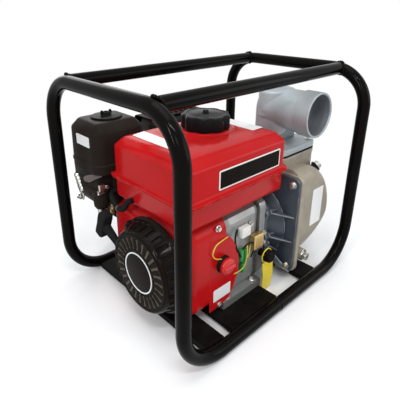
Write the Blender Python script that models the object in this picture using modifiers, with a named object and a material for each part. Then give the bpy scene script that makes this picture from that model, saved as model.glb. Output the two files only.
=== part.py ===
"""Portable fire pump: a single-cylinder petrol engine that drives a self-priming water pump in a tube frame.

X runs along the crankshaft with the pump at +X, -Y is the side with the stop switch, Z is up.
The origin is on the ground under the middle of the tube frame. All lengths are in metres.
"""

import math

import bmesh
import bpy
from mathutils import Matrix, Vector

# Clearances between neighbours, and how far a cutter runs past its piece
GAP = 0.0003
RUN = 0.0004
PAST = 0.001
FAR_PAST = 0.010

# Tube frame: centre-line sizes of the hoops
TUBE_R = 0.0125
FRAME_LENGTH = 0.500
FRAME_WIDTH = 0.362
FRAME_HEIGHT = 0.430
BEND_R = 0.060
BEND_STEPS = 6
TUBE_RES = 4

# Cross plates between the bottom rails
PLATE_TOP = 0.018
PLATE_T = 0.003
PLATE_LIP = 0.012
LEFT_PLATE_X = -0.165
LEFT_PLATE_W = 0.044
ENGINE_PLATE_W = 0.131
PUMP_PLATE_W = 0.045

# Crankcase
CRANK_Y = -0.0375
CRANK_HEIGHT = 0.106
FOOT_X = -0.039
FOOT_L = 0.112
FOOT_FRONT = 0.0855
FOOT_REAR = 0.1145
FOOT_T = 0.016
CASE_FRONT_X = -0.088
CASE_REAR_X = 0.018
CASE_HALF_W = 0.0725
CASE_DROP = 0.094
CASE_RISE = 0.081
CASE_WALL = 0.008
CASE_ROUND = 0.016
COVER_T = 0.018
TANK_POST = (0.060, 0.110)

# Crank train
SHAFT_R = 0.0125
BEARING_R = 0.026
BEARING_W = 0.014
CYL_X = -0.033
CYL_TILT = math.radians(20)
WEB_R = 0.040
WEB_T = 0.012
ROD_SPACE = 0.022
ROD_T = 0.014
ROD_LENGTH = 0.090
ROD_EYE_WALL = 0.004
ROD_SHANK_W = 0.012
BORE_R = 0.0345
PISTON_BELOW_PIN = 0.018
PISTON_ABOVE_PIN = 0.024
PISTON_WALL = 0.005
PISTON_PIN_R = 0.007

# Cylinder, head and rocker cover, measured along the cylinder from the crank axis
BARREL_R = 0.041
BARREL_TOP = 0.145
FIN_R = 0.050
FIN_T = 0.003
FIN_STEP = 0.010
FIN_COUNT = 5
HEAD_HALF = 0.043
HEAD_T = 0.027
ROCKER_HALF = 0.036
ROCKER_T = 0.024
PLUG_R = 0.007
PLUG_DROP = 0.022
PLUG_THREAD = 0.018
PLUG_HEX = 0.008
PLUG_TIP = 0.030
PLUG_CAP_L = 0.052

# Flywheel, starter and red fan shroud
FLYWHEEL_R = 0.072
FLYWHEEL_X = -0.124
FLYWHEEL_T = 0.014
BLADE_COUNT = 12
BLADE_T = 0.003
BLADE_H = 0.016
BLADE_SPACE = 0.006
CUP_R = 0.034
CUP_T = 0.018
CUP_WALL = 0.004
SHROUD_FACE_X = -0.190
SHROUD_BACK_X = -0.0915
SHROUD_FRONT_Y = -0.119
SHROUD_REAR_Y = 0.080
SHROUD_LOW = 0.035
SHROUD_TOP = 0.215
SHROUD_WALL = 0.002
SHROUD_ROUND = 0.022
SHROUD_EAR_X = -0.150
SHROUD_EAR_R = 0.095
SHROUD_EAR_Z = 0.112
SHROUD_INTAKE_STEP = 0.008
SHROUD_BACK_CUT = 0.040
RECOIL_R = 0.0766
RECOIL_DEPTH = 0.039
RECOIL_BASE_R = 0.086
RECOIL_BASE_T = 0.005
RECOIL_WALL = 0.0025
RECOIL_EDGE = 0.006
RECOIL_FLARE = 0.001
RECOIL_RING_R = 0.0378
RECOIL_SLOTS = 12
RECOIL_SLOT_L = 0.024
RECOIL_SLOT_STEP = 0.005
RECOIL_SLOT_W = 0.004
REEL_POST_R = 0.008
REEL_POST_L = 0.016
REEL_SPACE = 0.0015
REEL_R = 0.052
REEL_T = 0.012
GRIP_BACK = 0.025
GRIP_START_R = 0.0789
GRIP_START_DEG = 10.07
GRIP_LEAN_DEG = 27.46
GRIP_NECK_L = 0.057
GRIP_NECK_R = 0.0075
GRIP_BAR_L = 0.056
GRIP_BAR_R = 0.0110
COIL_L = 0.055
COIL_W = 0.020

# Fuel tank, two pressed shells that meet at a flange
TANK_X = -0.0625
TANK_REAR_Y = 0.080
TANK_L = 0.261
TANK_W = 0.206
TANK_SEAM = 0.270
TANK_RISE = 0.077
TANK_LIFT = 0.017
TANK_WALL = 0.0016
TANK_ROUND = 0.016
TANK_FLANGE = 0.009
TANK_FLANGE_T = 0.0022
FILLER_X = -0.036
FILLER_Y = -0.008
FILLER_R = 0.030
FILLER_H = 0.010
CAP_R = 0.047
CAP_H = 0.030
CAP_WALL = 0.004
CAP_NUB = 0.004
HOSE_R = 0.0035
HOSE_OUT_Y = 0.020
HOSE_OUT_RISE = 0.012
HOSE_SWING = 0.012

# Carburettor and air cleaner
CARB_L = 0.052
CARB_STEP = 0.004
CARB_LOW = -0.020
CARB_RISE = 0.022
CARB_HALF_W = 0.021
CARB_BORE_R = 0.010
SPACER_T = 0.010
BOWL_R = 0.018
BOWL_H = 0.030
LEVER_T = 0.003
LEVER_HUB_R = 0.007
CHOKE_LEVER_L = 0.026
TAP_LEVER_L = 0.020
THROTTLE_LEVER_L = 0.050
CLEANER_X = -0.167
CLEANER_Y = 0.132
CLEANER_L = 0.110
CLEANER_W = 0.100
CLEANER_STEP = 0.011
CLEANER_H = 0.079
CLEANER_WALL = 0.0025
CLEANER_CHAMFER = 0.016
TRAY_T = 0.008
DUCT_L = 0.046
DUCT_W = 0.046
FILTER_R = 0.040
FILTER_WALL = 0.012
FILTER_H = 0.054
STUD_R = 0.003
WING_DISC_R = 0.027
WING_DISC_T = 0.004
WING_R = 0.008
WING_H = 0.014

# Exhaust
MUFFLER_X = 0.005
MUFFLER_L = 0.140
MUFFLER_Y = 0.146
MUFFLER_W = 0.056
MUFFLER_LOW = 0.236
MUFFLER_H = 0.104
MUFFLER_ROUND = 0.018
SHIELD_T = 0.002
SHIELD_SPACE = 0.004
PIPE_R = 0.011
PIPE_REACH = 0.026

# Small fittings on the engine
SWITCH_X = -0.098
SWITCH_Z = 0.124
SWITCH_R = 0.0175
SWITCH_T = 0.008
KNOB_R = 0.015
KNOB_T = 0.011
KNOB_RIDGE = 0.008
OIL_CAP_Z = 0.088
OIL_CAP_R = 0.013
OIL_CAP_L = 0.030
OIL_CAP_EDGE = 0.004
SENSOR_X = -0.0355
SENSOR_Z = 0.165
SENSOR_SIZE = (0.025, 0.012, 0.021)
REGULATOR_X = 0.004
REGULATOR_Z = 0.122
REGULATOR_SIZE = (0.024, 0.013, 0.024)

# Pump
BRACKET_L = 0.0537
BRACKET_NECK_R = 0.052
BRACKET_PLATE_T = 0.008
BRACKET_WALL = 0.006
BRACKET_STEP = 0.004
BRACKET_LIP = 0.006
SEAL_HOUSE = 0.014
BRACKET_RIBS = 8
RIB_T = 0.005
RIB_SHORT = 0.030
RIB_SINK = 0.006
FLANGE_W = 0.236
FLANGE_H = 0.222
FLANGE_T = 0.010
FLANGE_ROUND = 0.028
CASING_Z = 0.137
CASING_R = 0.110
CASING_STRAIGHT = 0.030
CASING_W = 0.222
CASING_WALL = 0.007
CASING_ROUND = 0.022
PUMP_FOOT_W = 0.130
PUMP_PLATE_STEP = 0.006
PORT_R = 0.037
VOLUTE_R = 0.078
VOLUTE_L = 0.044
VOLUTE_WALL = 0.004
IMPELLER_R = 0.064
IMPELLER_T = 0.005
IMPELLER_SPACE = 0.006
VANE_H = 0.018
VANE_T = 0.004
VANE_COUNT = 5
HUB_R = 0.020
SEAL_R = 0.021
SEAL_T = 0.010
NECK_X = 0.140
NECK_L = 0.120
NECK_W = 0.140
NECK_FLANGE_T = 0.010
NECK_SINK = 0.004
NECK_ROUND = 0.020
NECK_EASE_L = 0.024
NECK_EASE_W = 0.030
NECK_TOP = 0.2775
GASKET_T = 0.003
ELBOW_FLANGE_T = 0.013
ELBOW_TOWER = 0.088
ELBOW_TOWER_ROUND = 0.014
ELBOW_AXIS_Z = 0.364
ELBOW_PIPE_R = 0.042
ELBOW_MOUTH_R = 0.045
ELBOW_MOUTH_Y = -0.146
ELBOW_BAND = 0.034
ELBOW_BACK = 0.046
PLUG_BOSS_R = 0.014
PLUG_BOSS_RISE = 0.002
PLUG_SINK = 0.008
PLUG_HEX_R = 0.012
PLUG_HEX_H = 0.012
SUCTION_Z = 0.146
SUCTION_END_X = 0.262
SUCTION_BOSS_R = 0.052
SUCTION_FACE_X = 0.236
SUCTION_FLANGE = 0.110
SUCTION_FLANGE_T = 0.009
SUCTION_ROUND = 0.016
FLAP_R = 0.033
FLAP_T = 0.004
FLAP_LAP = 0.002
FLAP_HINGE = 0.034
DRAIN_STEP = 0.010
DRAIN_Z = 0.052
DRAIN_HEX_R = 0.010
DRAIN_HEX_H = 0.012

# Places that follow from the sizes above
RAIL_Z = TUBE_R
TOP_Z = TUBE_R + FRAME_HEIGHT
ENGINE_BASE = PLATE_TOP + GAP
CRANK_Z = PLATE_TOP + CRANK_HEIGHT
PTO_X = CASE_REAR_X + GAP + COVER_T
BRACKET_X = PTO_X + GAP
FLANGE_X = BRACKET_X + BRACKET_L + GAP
CASING_X = FLANGE_X + CASING_STRAIGHT
TANK_TOP = TANK_SEAM + TANK_RISE
TANK_Y = TANK_REAR_Y - TANK_W / 2
TANK_BOTTOM = CRANK_Z + CASE_RISE + TANK_LIFT
CLEANER_SEAM = TANK_SEAM + CLEANER_STEP
BRACKET_MOUTH_R = FLANGE_H / 2 - (CASING_Z - CRANK_Z)
PUMP_PLATE_X = FLANGE_X + FLANGE_T + PUMP_PLATE_W / 2 + PUMP_PLATE_STEP
HEAD_START = BARREL_TOP + GAP
HEAD_END = HEAD_START + HEAD_T
HEAD_MID = HEAD_START + HEAD_T / 2
ALONG = Vector((0.0, math.cos(CYL_TILT), math.sin(CYL_TILT)))
ACROSS = Vector((0.0, -math.sin(CYL_TILT), math.cos(CYL_TILT)))
CRANK = Vector((0.0, CRANK_Y, CRANK_Z))
CYL_BASE = Vector((CYL_X, CRANK_Y, CRANK_Z))
PORT_POINT = CYL_BASE + ALONG * HEAD_MID
CARB_X = CYL_X - HEAD_HALF - GAP - SPACER_T - CARB_L / 2
CARB_Y = PORT_POINT.y + CARB_STEP
CARB_Z = PORT_POINT.z + CARB_STEP
CASE_FRONT_Y = CRANK_Y - CASE_HALF_W
GRIP_START = math.radians(GRIP_START_DEG)
GRIP_LEAN = math.radians(GRIP_LEAN_DEG)
GRIP_NECK = Vector(
    (
        SHROUD_FACE_X - GRIP_BACK,
        CRANK_Y + GRIP_START_R * math.cos(GRIP_START),
        CRANK_Z + GRIP_START_R * math.sin(GRIP_START),
    )
)
GRIP_AXIS = Vector((0.0, math.cos(GRIP_LEAN), math.sin(GRIP_LEAN)))
ROUND_SIDES = 20
SMALL_SIDES = 12

# Unit turns that lay a piece's own Z axis along a world axis
ALONG_X = Matrix.Rotation(math.pi / 2, 4, "Y")
ALONG_NEG_Y = Matrix.Rotation(math.pi / 2, 4, "X")
UPRIGHT = Matrix.Identity(4)
ALONG_CYL = Matrix.Rotation(CYL_TILT - math.pi / 2, 4, "X")

PAINT = {
    "frame_black": ((0.012, 0.012, 0.013), 0.30, 0.0),
    "shroud_red": ((0.52, 0.018, 0.022), 0.25, 0.0),
    "cast_grey": ((0.36, 0.36, 0.35), 0.50, 0.8),
    "bare_aluminium": ((0.62, 0.62, 0.61), 0.38, 1.0),
    "casing_beige": ((0.38, 0.34, 0.30), 0.55, 0.3),
    "bracket_slate": ((0.075, 0.092, 0.115), 0.50, 0.3),
    "matte_black": ((0.018, 0.018, 0.019), 0.60, 0.0),
    "gloss_black": ((0.014, 0.013, 0.013), 0.28, 0.0),
    "steel": ((0.50, 0.50, 0.50), 0.35, 1.0),
    "iron": ((0.16, 0.16, 0.16), 0.55, 1.0),
    "rubber": ((0.012, 0.012, 0.012), 0.80, 0.0),
    "brass": ((0.55, 0.40, 0.16), 0.40, 1.0),
    "white_plastic": ((0.72, 0.72, 0.70), 0.45, 0.0),
    "knob_red": ((0.60, 0.020, 0.020), 0.35, 0.0),
    "foam": ((0.05, 0.05, 0.05), 0.95, 0.0),
}


def clear_scene():
    for old in list(bpy.data.objects):
        bpy.data.objects.remove(old)


def make_materials():
    for name, (colour, roughness, metallic) in PAINT.items():
        finish = bpy.data.materials.new(name)
        finish.use_nodes = True
        shader = finish.node_tree.nodes["Principled BSDF"]
        shader.inputs["Base Color"].default_value = (*colour, 1.0)
        shader.inputs["Roughness"].default_value = roughness
        shader.inputs["Metallic"].default_value = metallic


def make_collection(name):
    collection = bpy.data.collections.new(name)
    bpy.context.scene.collection.children.link(collection)
    return collection


def place(name, data, at=(0, 0, 0), turn=UPRIGHT, paint=None):
    """Adds an object at a point with its axes turned, in the parts collection."""
    obj = bpy.data.objects.new(name, data)
    obj.matrix_world = Matrix.Translation(at) @ turn
    parts.objects.link(obj)
    if paint:
        data.materials.append(bpy.data.materials[paint])
    return obj


def mesh_from(bm, name):
    data = bpy.data.meshes.new(name)
    bm.to_mesh(data)
    bm.free()
    data.shade_smooth()
    data.set_sharp_from_angle(angle=math.radians(35))
    return data


def box(name, size, at, turn=UPRIGHT, paint=None, edge=0.0, edge_steps=2):
    """A block centred on a point, with its edges rounded when an edge radius is given."""
    bm = bmesh.new()
    bmesh.ops.create_cube(bm, size=1.0, matrix=Matrix.Diagonal((*size, 1.0)))
    obj = place(name, mesh_from(bm, name), at, turn, paint)
    if edge:
        bevel = obj.modifiers.new("rounded_edges", "BEVEL")
        bevel.width = edge
        bevel.segments = edge_steps
    return obj


def round_rims(obj, width, steps):
    """Rounds the square edges of a piece and leaves the facets of its curved sides alone."""
    bevel = obj.modifiers.new("rounded_rims", "BEVEL")
    bevel.width = width
    bevel.segments = steps
    bevel.limit_method = "ANGLE"
    bevel.angle_limit = math.radians(60)


def rod(name, radius, start, end, turn, paint=None, sides=ROUND_SIDES, end_radius=None):
    """A round bar between two points, whose own Z axis the given turn lays along start to end."""
    start = Vector(start)
    end = Vector(end)
    bm = bmesh.new()
    last = radius if end_radius is None else end_radius
    bmesh.ops.create_cone(
        bm, cap_ends=True, segments=sides, radius1=radius, radius2=last, depth=(end - start).length
    )
    return place(name, mesh_from(bm, name), (start + end) / 2, turn, paint)


def turned(name, profile, at, turn, paint=None, steps=ROUND_SIDES):
    """A lathe shape: (radius, height) points down the outer side and back up the inner side."""
    bm = bmesh.new()
    ring = [bm.verts.new((radius, 0.0, height)) for radius, height in profile]
    open_profile = profile[0][0] == 0 and profile[-1][0] == 0
    pairs = list(zip(ring, ring[1:]))
    if not open_profile:
        pairs.append((ring[-1], ring[0]))
    for first, second in pairs:
        bm.edges.new((first, second))
    data = bpy.data.meshes.new(name)
    bm.to_mesh(data)
    bm.free()
    obj = place(name, data, at, turn, paint)
    screw = obj.modifiers.new("lathe", "SCREW")
    screw.steps = steps
    screw.render_steps = steps
    screw.use_merge_vertices = True
    screw.merge_threshold = 0.00001
    return obj


def as_mesh(curve_obj):
    """Replaces a curve object by its closed mesh, so that it can be cut or joined."""
    bpy.context.view_layer.update()
    graph = bpy.context.evaluated_depsgraph_get()
    data = bpy.data.meshes.new_from_object(curve_obj.evaluated_get(graph))
    bm = bmesh.new()
    bm.from_mesh(data)
    bmesh.ops.remove_doubles(bm, verts=bm.verts, dist=0.00001)
    bmesh.ops.recalc_face_normals(bm, faces=bm.faces)
    bm.to_mesh(data)
    bm.free()
    name = curve_obj.name
    old_curve = curve_obj.data
    world = curve_obj.matrix_world.copy()
    bpy.data.objects.remove(curve_obj)
    bpy.data.curves.remove(old_curve)
    data.name = name
    obj = bpy.data.objects.new(name, data)
    obj.matrix_world = world
    parts.objects.link(obj)
    return obj


def slab(name, outline, thickness, at, turn=UPRIGHT, paint=None, holes=()):
    """A flat plate: an outline in its own XY plane, with holes, thickened both ways along its own Z."""
    curve = bpy.data.curves.new(name, "CURVE")
    curve.dimensions = "2D"
    curve.fill_mode = "BOTH"
    curve.extrude = thickness / 2
    for loop in (outline, *holes):
        spline = curve.splines.new("POLY")
        spline.points.add(len(loop) - 1)
        for point, (u, v) in zip(spline.points, loop):
            point.co = (u, v, 0.0, 1.0)
        spline.use_cyclic_u = True
    obj = as_mesh(place(name, curve, at, turn, paint))
    if not holes:
        merge_flat_faces(obj.data)
    return obj


def merge_flat_faces(data):
    """Joins the triangles of a filled outline into one face each side."""
    bm = bmesh.new()
    bm.from_mesh(data)
    bmesh.ops.dissolve_limit(bm, angle_limit=math.radians(0.5), verts=bm.verts, edges=bm.edges)
    bm.to_mesh(data)
    bm.free()


def tube(name, points, radius, paint, resolution, tilt=0.0):
    """A tube along points in world space."""
    curve = bpy.data.curves.new(name, "CURVE")
    curve.dimensions = "3D"
    curve.bevel_depth = radius
    curve.bevel_resolution = resolution
    curve.use_fill_caps = True
    spline = curve.splines.new("POLY")
    spline.points.add(len(points) - 1)
    for point, place_at in zip(spline.points, points):
        point.co = (*place_at, 1.0)
        point.tilt = tilt
    return place(name, curve, paint=paint)


def filleted(corners, radius, steps):
    """The corner points of a bent tube, with each inner corner turned into an arc."""
    corners = [Vector(corner) for corner in corners]
    path = [corners[0]]
    for before, corner, after in zip(corners, corners[1:], corners[2:]):
        back = (before - corner).normalized()
        ahead = (after - corner).normalized()
        half = back.angle(ahead) / 2
        start = corner + back * (radius / math.tan(half))
        centre = corner + (back + ahead).normalized() * (radius / math.sin(half))
        sweep = math.pi - 2 * half
        for step in range(steps + 1):
            angle = sweep * step / steps
            path.append(centre + (start - centre) * math.cos(angle) - back * radius * math.sin(angle))
    path.append(corners[-1])
    return path


def smooth_path(points, per_span):
    """Points of a Catmull-Rom curve through the given points."""
    points = [Vector(point) for point in points]
    ends = [points[0] * 2 - points[1], *points, points[-1] * 2 - points[-2]]
    path = []
    for a, b, c, d in zip(ends, ends[1:], ends[2:], ends[3:]):
        for step in range(per_span):
            t = step / per_span
            path.append(
                b
                + (c - a) * (t / 2)
                + (a * 2 - b * 5 + c * 4 - d) * (t**2 / 2)
                + (b * 3 - a - c * 3 + d) * (t**3 / 2)
            )
    path.append(points[-1])
    return path


def arc(centre_u, centre_v, radius, start_deg, end_deg, steps):
    angles = [math.radians(start_deg + (end_deg - start_deg) * step / steps) for step in range(steps + 1)]
    return [(centre_u + radius * math.cos(a), centre_v + radius * math.sin(a)) for a in angles]


def rounded_rect(width, height, radius, steps=4):
    u = width / 2 - radius
    v = height / 2 - radius
    outline = []
    for centre_u, centre_v, start in ((u, v, 0), (-u, v, 90), (-u, -v, 180), (u, -v, 270)):
        outline += arc(centre_u, centre_v, radius, start, start + 90, steps)
    return outline


def circle(radius, sides=ROUND_SIDES):
    return arc(0.0, 0.0, radius, 0, 360 - 360 / sides, sides - 1)


def combine(target, tools, operation):
    """Keeps each tool as a hidden cutter object that a Boolean modifier on the target reads."""
    for tool in tools:
        parts.objects.unlink(tool)
        cutters.objects.link(tool)
        tool.hide_render = True
        tool.display_type = "WIRE"
        boolean = target.modifiers.new(tool.name, "BOOLEAN")
        boolean.operation = operation
        boolean.object = tool
        boolean.solver = "EXACT"


def join(target, *tools):
    combine(target, tools, "UNION")


def carve(target, *tools):
    combine(target, tools, "DIFFERENCE")


def make_frame():
    flat_r = TUBE_R / math.cos(math.pi / 12)
    half_w = FRAME_WIDTH / 2
    for name, side in (("left_hoop", -1), ("right_hoop", 1)):
        mid_x = side * GAP / 2
        end_x = side * FRAME_LENGTH / 2
        corners = [
            (mid_x, -half_w, RAIL_Z),
            (end_x, -half_w, RAIL_Z),
            (end_x, -half_w, TOP_Z),
            (end_x, half_w, TOP_Z),
            (end_x, half_w, RAIL_Z),
            (mid_x, half_w, RAIL_Z),
        ]
        path = filleted(corners, BEND_R, BEND_STEPS)
        tube(name, path, flat_r, "frame_black", TUBE_RES, math.pi / 12)
    rail_y = half_w - BEND_R
    rail_x = FRAME_LENGTH / 2 - TUBE_R - GAP
    for name, y in (("top_rail_front", -rail_y), ("top_rail_rear", rail_y)):
        ends = [Vector((-rail_x, y, TOP_Z)), Vector((rail_x, y, TOP_Z))]
        tube(name, ends, flat_r, "frame_black", TUBE_RES, math.pi / 12)


def make_cross_plates():
    span = FRAME_WIDTH - 2 * (TUBE_R + GAP)
    plates = (
        ("cross_plate_left", LEFT_PLATE_X, LEFT_PLATE_W),
        ("engine_plate", FOOT_X - 0.014, ENGINE_PLATE_W),
        ("pump_plate", PUMP_PLATE_X, PUMP_PLATE_W),
    )
    for name, centre_x, width in plates:
        half = width / 2
        low = PLATE_TOP - PLATE_LIP
        outline = [
            (-half, low),
            (-half + PLATE_T, low),
            (-half + PLATE_T, PLATE_TOP - PLATE_T),
            (half - PLATE_T, PLATE_TOP - PLATE_T),
            (half - PLATE_T, low),
            (half, low),
            (half, PLATE_TOP),
            (-half, PLATE_TOP),
        ]
        slab(name, outline, span, (centre_x, 0, 0), ALONG_NEG_Y, "frame_black")


def make_crankcase():
    low = CRANK_Z - CASE_DROP
    high = CRANK_Z + CASE_RISE
    length = CASE_REAR_X - CASE_FRONT_X
    mid_x = (CASE_REAR_X + CASE_FRONT_X) / 2
    mid_z = (low + high) / 2
    case = box(
        "crankcase",
        (length, 2 * CASE_HALF_W, high - low),
        (mid_x, CRANK_Y, mid_z),
        paint="cast_grey",
        edge=CASE_ROUND,
    )
    foot_w = FOOT_FRONT + FOOT_REAR
    foot_y = CRANK_Y + (FOOT_REAR - FOOT_FRONT) / 2
    foot = box("case_foot", (FOOT_L, foot_w, FOOT_T), (FOOT_X, foot_y, ENGINE_BASE + FOOT_T / 2))
    post_h = TANK_BOTTOM - GAP - high + CASE_WALL / 2
    post_z = TANK_BOTTOM - GAP - post_h / 2
    post = box("tank_post", (*TANK_POST, post_h), (mid_x, CRANK_Y, post_z))
    barrel_from = CYL_BASE + ALONG * (CASE_HALF_W * 0.7)
    barrel = rod("barrel", BARREL_R, barrel_from, CYL_BASE + ALONG * BARREL_TOP, ALONG_CYL)
    fins = []
    for index in range(FIN_COUNT):
        top = CYL_BASE + ALONG * (BARREL_TOP - FIN_STEP * index)
        fins.append(rod(f"fin_{index}", FIN_R, top - ALONG * FIN_T, top, ALONG_CYL))
    boss_r = BEARING_R + CASE_WALL
    boss_end = CASE_FRONT_X + BEARING_W + 2 * GAP
    boss_at = CRANK + Vector((CASE_FRONT_X, 0, 0))
    boss = rod("bearing_boss", boss_r, boss_at, CRANK + Vector((boss_end, 0, 0)), ALONG_X)
    hollow_l = length - CASE_WALL + PAST
    hollow_x = CASE_REAR_X + PAST - hollow_l / 2
    hollow = box(
        "case_hollow",
        (hollow_l, 2 * (CASE_HALF_W - CASE_WALL), high - low - 2 * CASE_WALL),
        (hollow_x, CRANK_Y, mid_z),
    )
    seat = rod(
        "bearing_seat",
        BEARING_R + GAP,
        CRANK + Vector((CASE_FRONT_X - PAST, 0, 0)),
        CRANK + Vector((boss_end + PAST, 0, 0)),
        ALONG_X,
    )
    bore = rod(
        "cylinder_bore",
        BORE_R + RUN,
        CYL_BASE + ALONG * (CASE_HALF_W * 0.5),
        CYL_BASE + ALONG * (BARREL_TOP + PAST),
        ALONG_CYL,
        sides=ROUND_SIDES,
    )
    join(case, foot, post, barrel, *fins)
    carve(case, hollow)
    join(case, boss)
    carve(case, seat, bore)


def make_cover():
    low = CRANK_Z - CASE_DROP
    high = CRANK_Z + CASE_RISE
    mid_x = CASE_REAR_X + GAP + COVER_T / 2
    cover = slab(
        "crankcase_cover",
        rounded_rect(high - low, 2 * CASE_HALF_W, CASE_ROUND),
        COVER_T,
        (mid_x, CRANK_Y, (low + high) / 2),
        ALONG_X,
        "cast_grey",
    )
    seat_from = Vector((CASE_REAR_X - PAST, 0, 0))
    seat_to = Vector((CASE_REAR_X + GAP + BEARING_W, 0, 0))
    seat = rod("cover_seat", BEARING_R + GAP, CRANK + seat_from, CRANK + seat_to, ALONG_X)
    hole = rod(
        "cover_hole",
        SHAFT_R + RUN,
        CRANK + seat_from,
        CRANK + Vector((PTO_X + PAST, 0, 0)),
        ALONG_X,
    )
    carve(cover, seat, hole)


def make_crank_train():
    half = ROD_SPACE / 2
    front_web = CYL_X - half - WEB_T
    rear_web = CYL_X + half + WEB_T
    cup_end = FLYWHEEL_X - FLYWHEEL_T - BLADE_H - GAP - CUP_T
    impeller_end = FLANGE_X + VOLUTE_L - VOLUTE_WALL - IMPELLER_SPACE
    halves = (
        ("crankshaft_flywheel_half", front_web, front_web + WEB_T, cup_end),
        ("crankshaft_pump_half", rear_web - WEB_T, rear_web, impeller_end),
    )
    for name, web_from, web_to, shaft_end in halves:
        low = min(web_from, shaft_end)
        high = max(web_to, shaft_end)
        shaft_from = CRANK + Vector((low, 0, 0))
        shaft = rod(name, SHAFT_R, shaft_from, CRANK + Vector((high, 0, 0)), ALONG_X, "steel")
        web_at = CRANK + Vector((web_from, 0, 0))
        web = rod(name + "_web", WEB_R, web_at, CRANK + Vector((web_to, 0, 0)), ALONG_X)
        join(shaft, web)
    ring = [(BEARING_R, BEARING_W), (BEARING_R, 0), (SHAFT_R + RUN, 0), (SHAFT_R + RUN, BEARING_W)]
    for name, x in (("main_bearing_front", CASE_FRONT_X + GAP), ("main_bearing_rear", CASE_REAR_X)):
        turned(name, ring, CRANK + Vector((x, 0, 0)), ALONG_X, "steel")


def make_piston():
    """Piston and rod slide together along the cylinder; the crank pin is left out."""
    pin = CYL_BASE + ALONG * ROD_LENGTH
    skirt_r = BORE_R - PISTON_WALL
    piston = turned(
        "piston",
        [
            (0, PISTON_ABOVE_PIN),
            (BORE_R - RUN, PISTON_ABOVE_PIN),
            (BORE_R - RUN, -PISTON_BELOW_PIN),
            (skirt_r, -PISTON_BELOW_PIN),
            (skirt_r, PISTON_ABOVE_PIN - PISTON_WALL),
            (0, PISTON_ABOVE_PIN - PISTON_WALL),
        ],
        pin,
        ALONG_CYL,
        "bare_aluminium",
    )
    reach = Vector((BORE_R - PISTON_WALL / 2, 0, 0))
    join(piston, rod("piston_pin", PISTON_PIN_R, pin - reach, pin + reach, ALONG_X, sides=SMALL_SIDES))
    eye_r = PISTON_PIN_R + GAP
    eye = slab(
        "connecting_rod",
        circle(eye_r + ROD_EYE_WALL, SMALL_SIDES),
        ROD_T,
        pin,
        ALONG_X,
        "bare_aluminium",
        [circle(eye_r, SMALL_SIDES)],
    )
    big_r = WEB_R / 2 - PAST
    half_t = Vector((ROD_T / 2, 0, 0))
    big = rod("rod_big_end", big_r, CYL_BASE - half_t, CYL_BASE + half_t, ALONG_X)
    shank_from = CYL_BASE + ALONG * (big_r - ROD_EYE_WALL / 2)
    shank_to = pin - ALONG * (eye_r + ROD_EYE_WALL / 2)
    shank = box(
        "rod_shank",
        (ROD_T * 0.6, ROD_SHANK_W, (shank_to - shank_from).length),
        (shank_from + shank_to) / 2,
        ALONG_CYL,
    )
    bore_r = big_r - ROD_EYE_WALL
    big_bore = rod("rod_big_bore", bore_r, CYL_BASE - 2 * half_t, CYL_BASE + 2 * half_t, ALONG_X)
    join(eye, big, shank)
    carve(eye, big_bore)


def make_head():
    head_at = CYL_BASE + ALONG * HEAD_MID
    head = box(
        "cylinder_head",
        (2 * HEAD_HALF, 2 * HEAD_HALF, HEAD_T),
        head_at,
        ALONG_CYL,
        "bare_aluminium",
        edge=0.004,
        edge_steps=1,
    )
    plug_at = head_at - ACROSS * PLUG_DROP
    face_x = CYL_X + HEAD_HALF
    plug_seat = Vector((face_x, plug_at.y, plug_at.z))
    hole = rod(
        "plug_hole",
        PLUG_R + GAP,
        plug_seat - Vector((PLUG_THREAD + 2 * PAST, 0, 0)),
        plug_seat + Vector((PAST, 0, 0)),
        ALONG_X,
        sides=SMALL_SIDES,
    )
    carve(head, hole)
    turned(
        "spark_plug",
        [
            (0, PLUG_TIP),
            (PLUG_R * 0.7, PLUG_TIP),
            (PLUG_R * 0.7, PLUG_HEX),
            (PLUG_R * 1.5, PLUG_HEX),
            (PLUG_R * 1.5, GAP),
            (PLUG_R, GAP),
            (PLUG_R, -PLUG_THREAD),
            (0, -PLUG_THREAD),
        ],
        plug_seat,
        ALONG_X,
        "steel",
        SMALL_SIDES,
    )
    turned(
        "spark_plug_cap",
        [
            (0, PLUG_CAP_L),
            (PLUG_R * 1.3, PLUG_CAP_L),
            (PLUG_R * 1.6, PLUG_HEX + GAP),
            (PLUG_R * 0.7 + GAP, PLUG_HEX + GAP),
            (PLUG_R * 0.7 + GAP, PLUG_TIP + GAP),
            (0, PLUG_TIP + GAP),
        ],
        plug_seat,
        ALONG_X,
        "rubber",
        SMALL_SIDES,
    )
    cover_at = CYL_BASE + ALONG * (HEAD_END + GAP + ROCKER_T / 2)
    box(
        "rocker_cover",
        (2 * ROCKER_HALF, 2 * ROCKER_HALF, ROCKER_T),
        cover_at,
        ALONG_CYL,
        "gloss_black",
        edge=0.008,
    )


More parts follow.
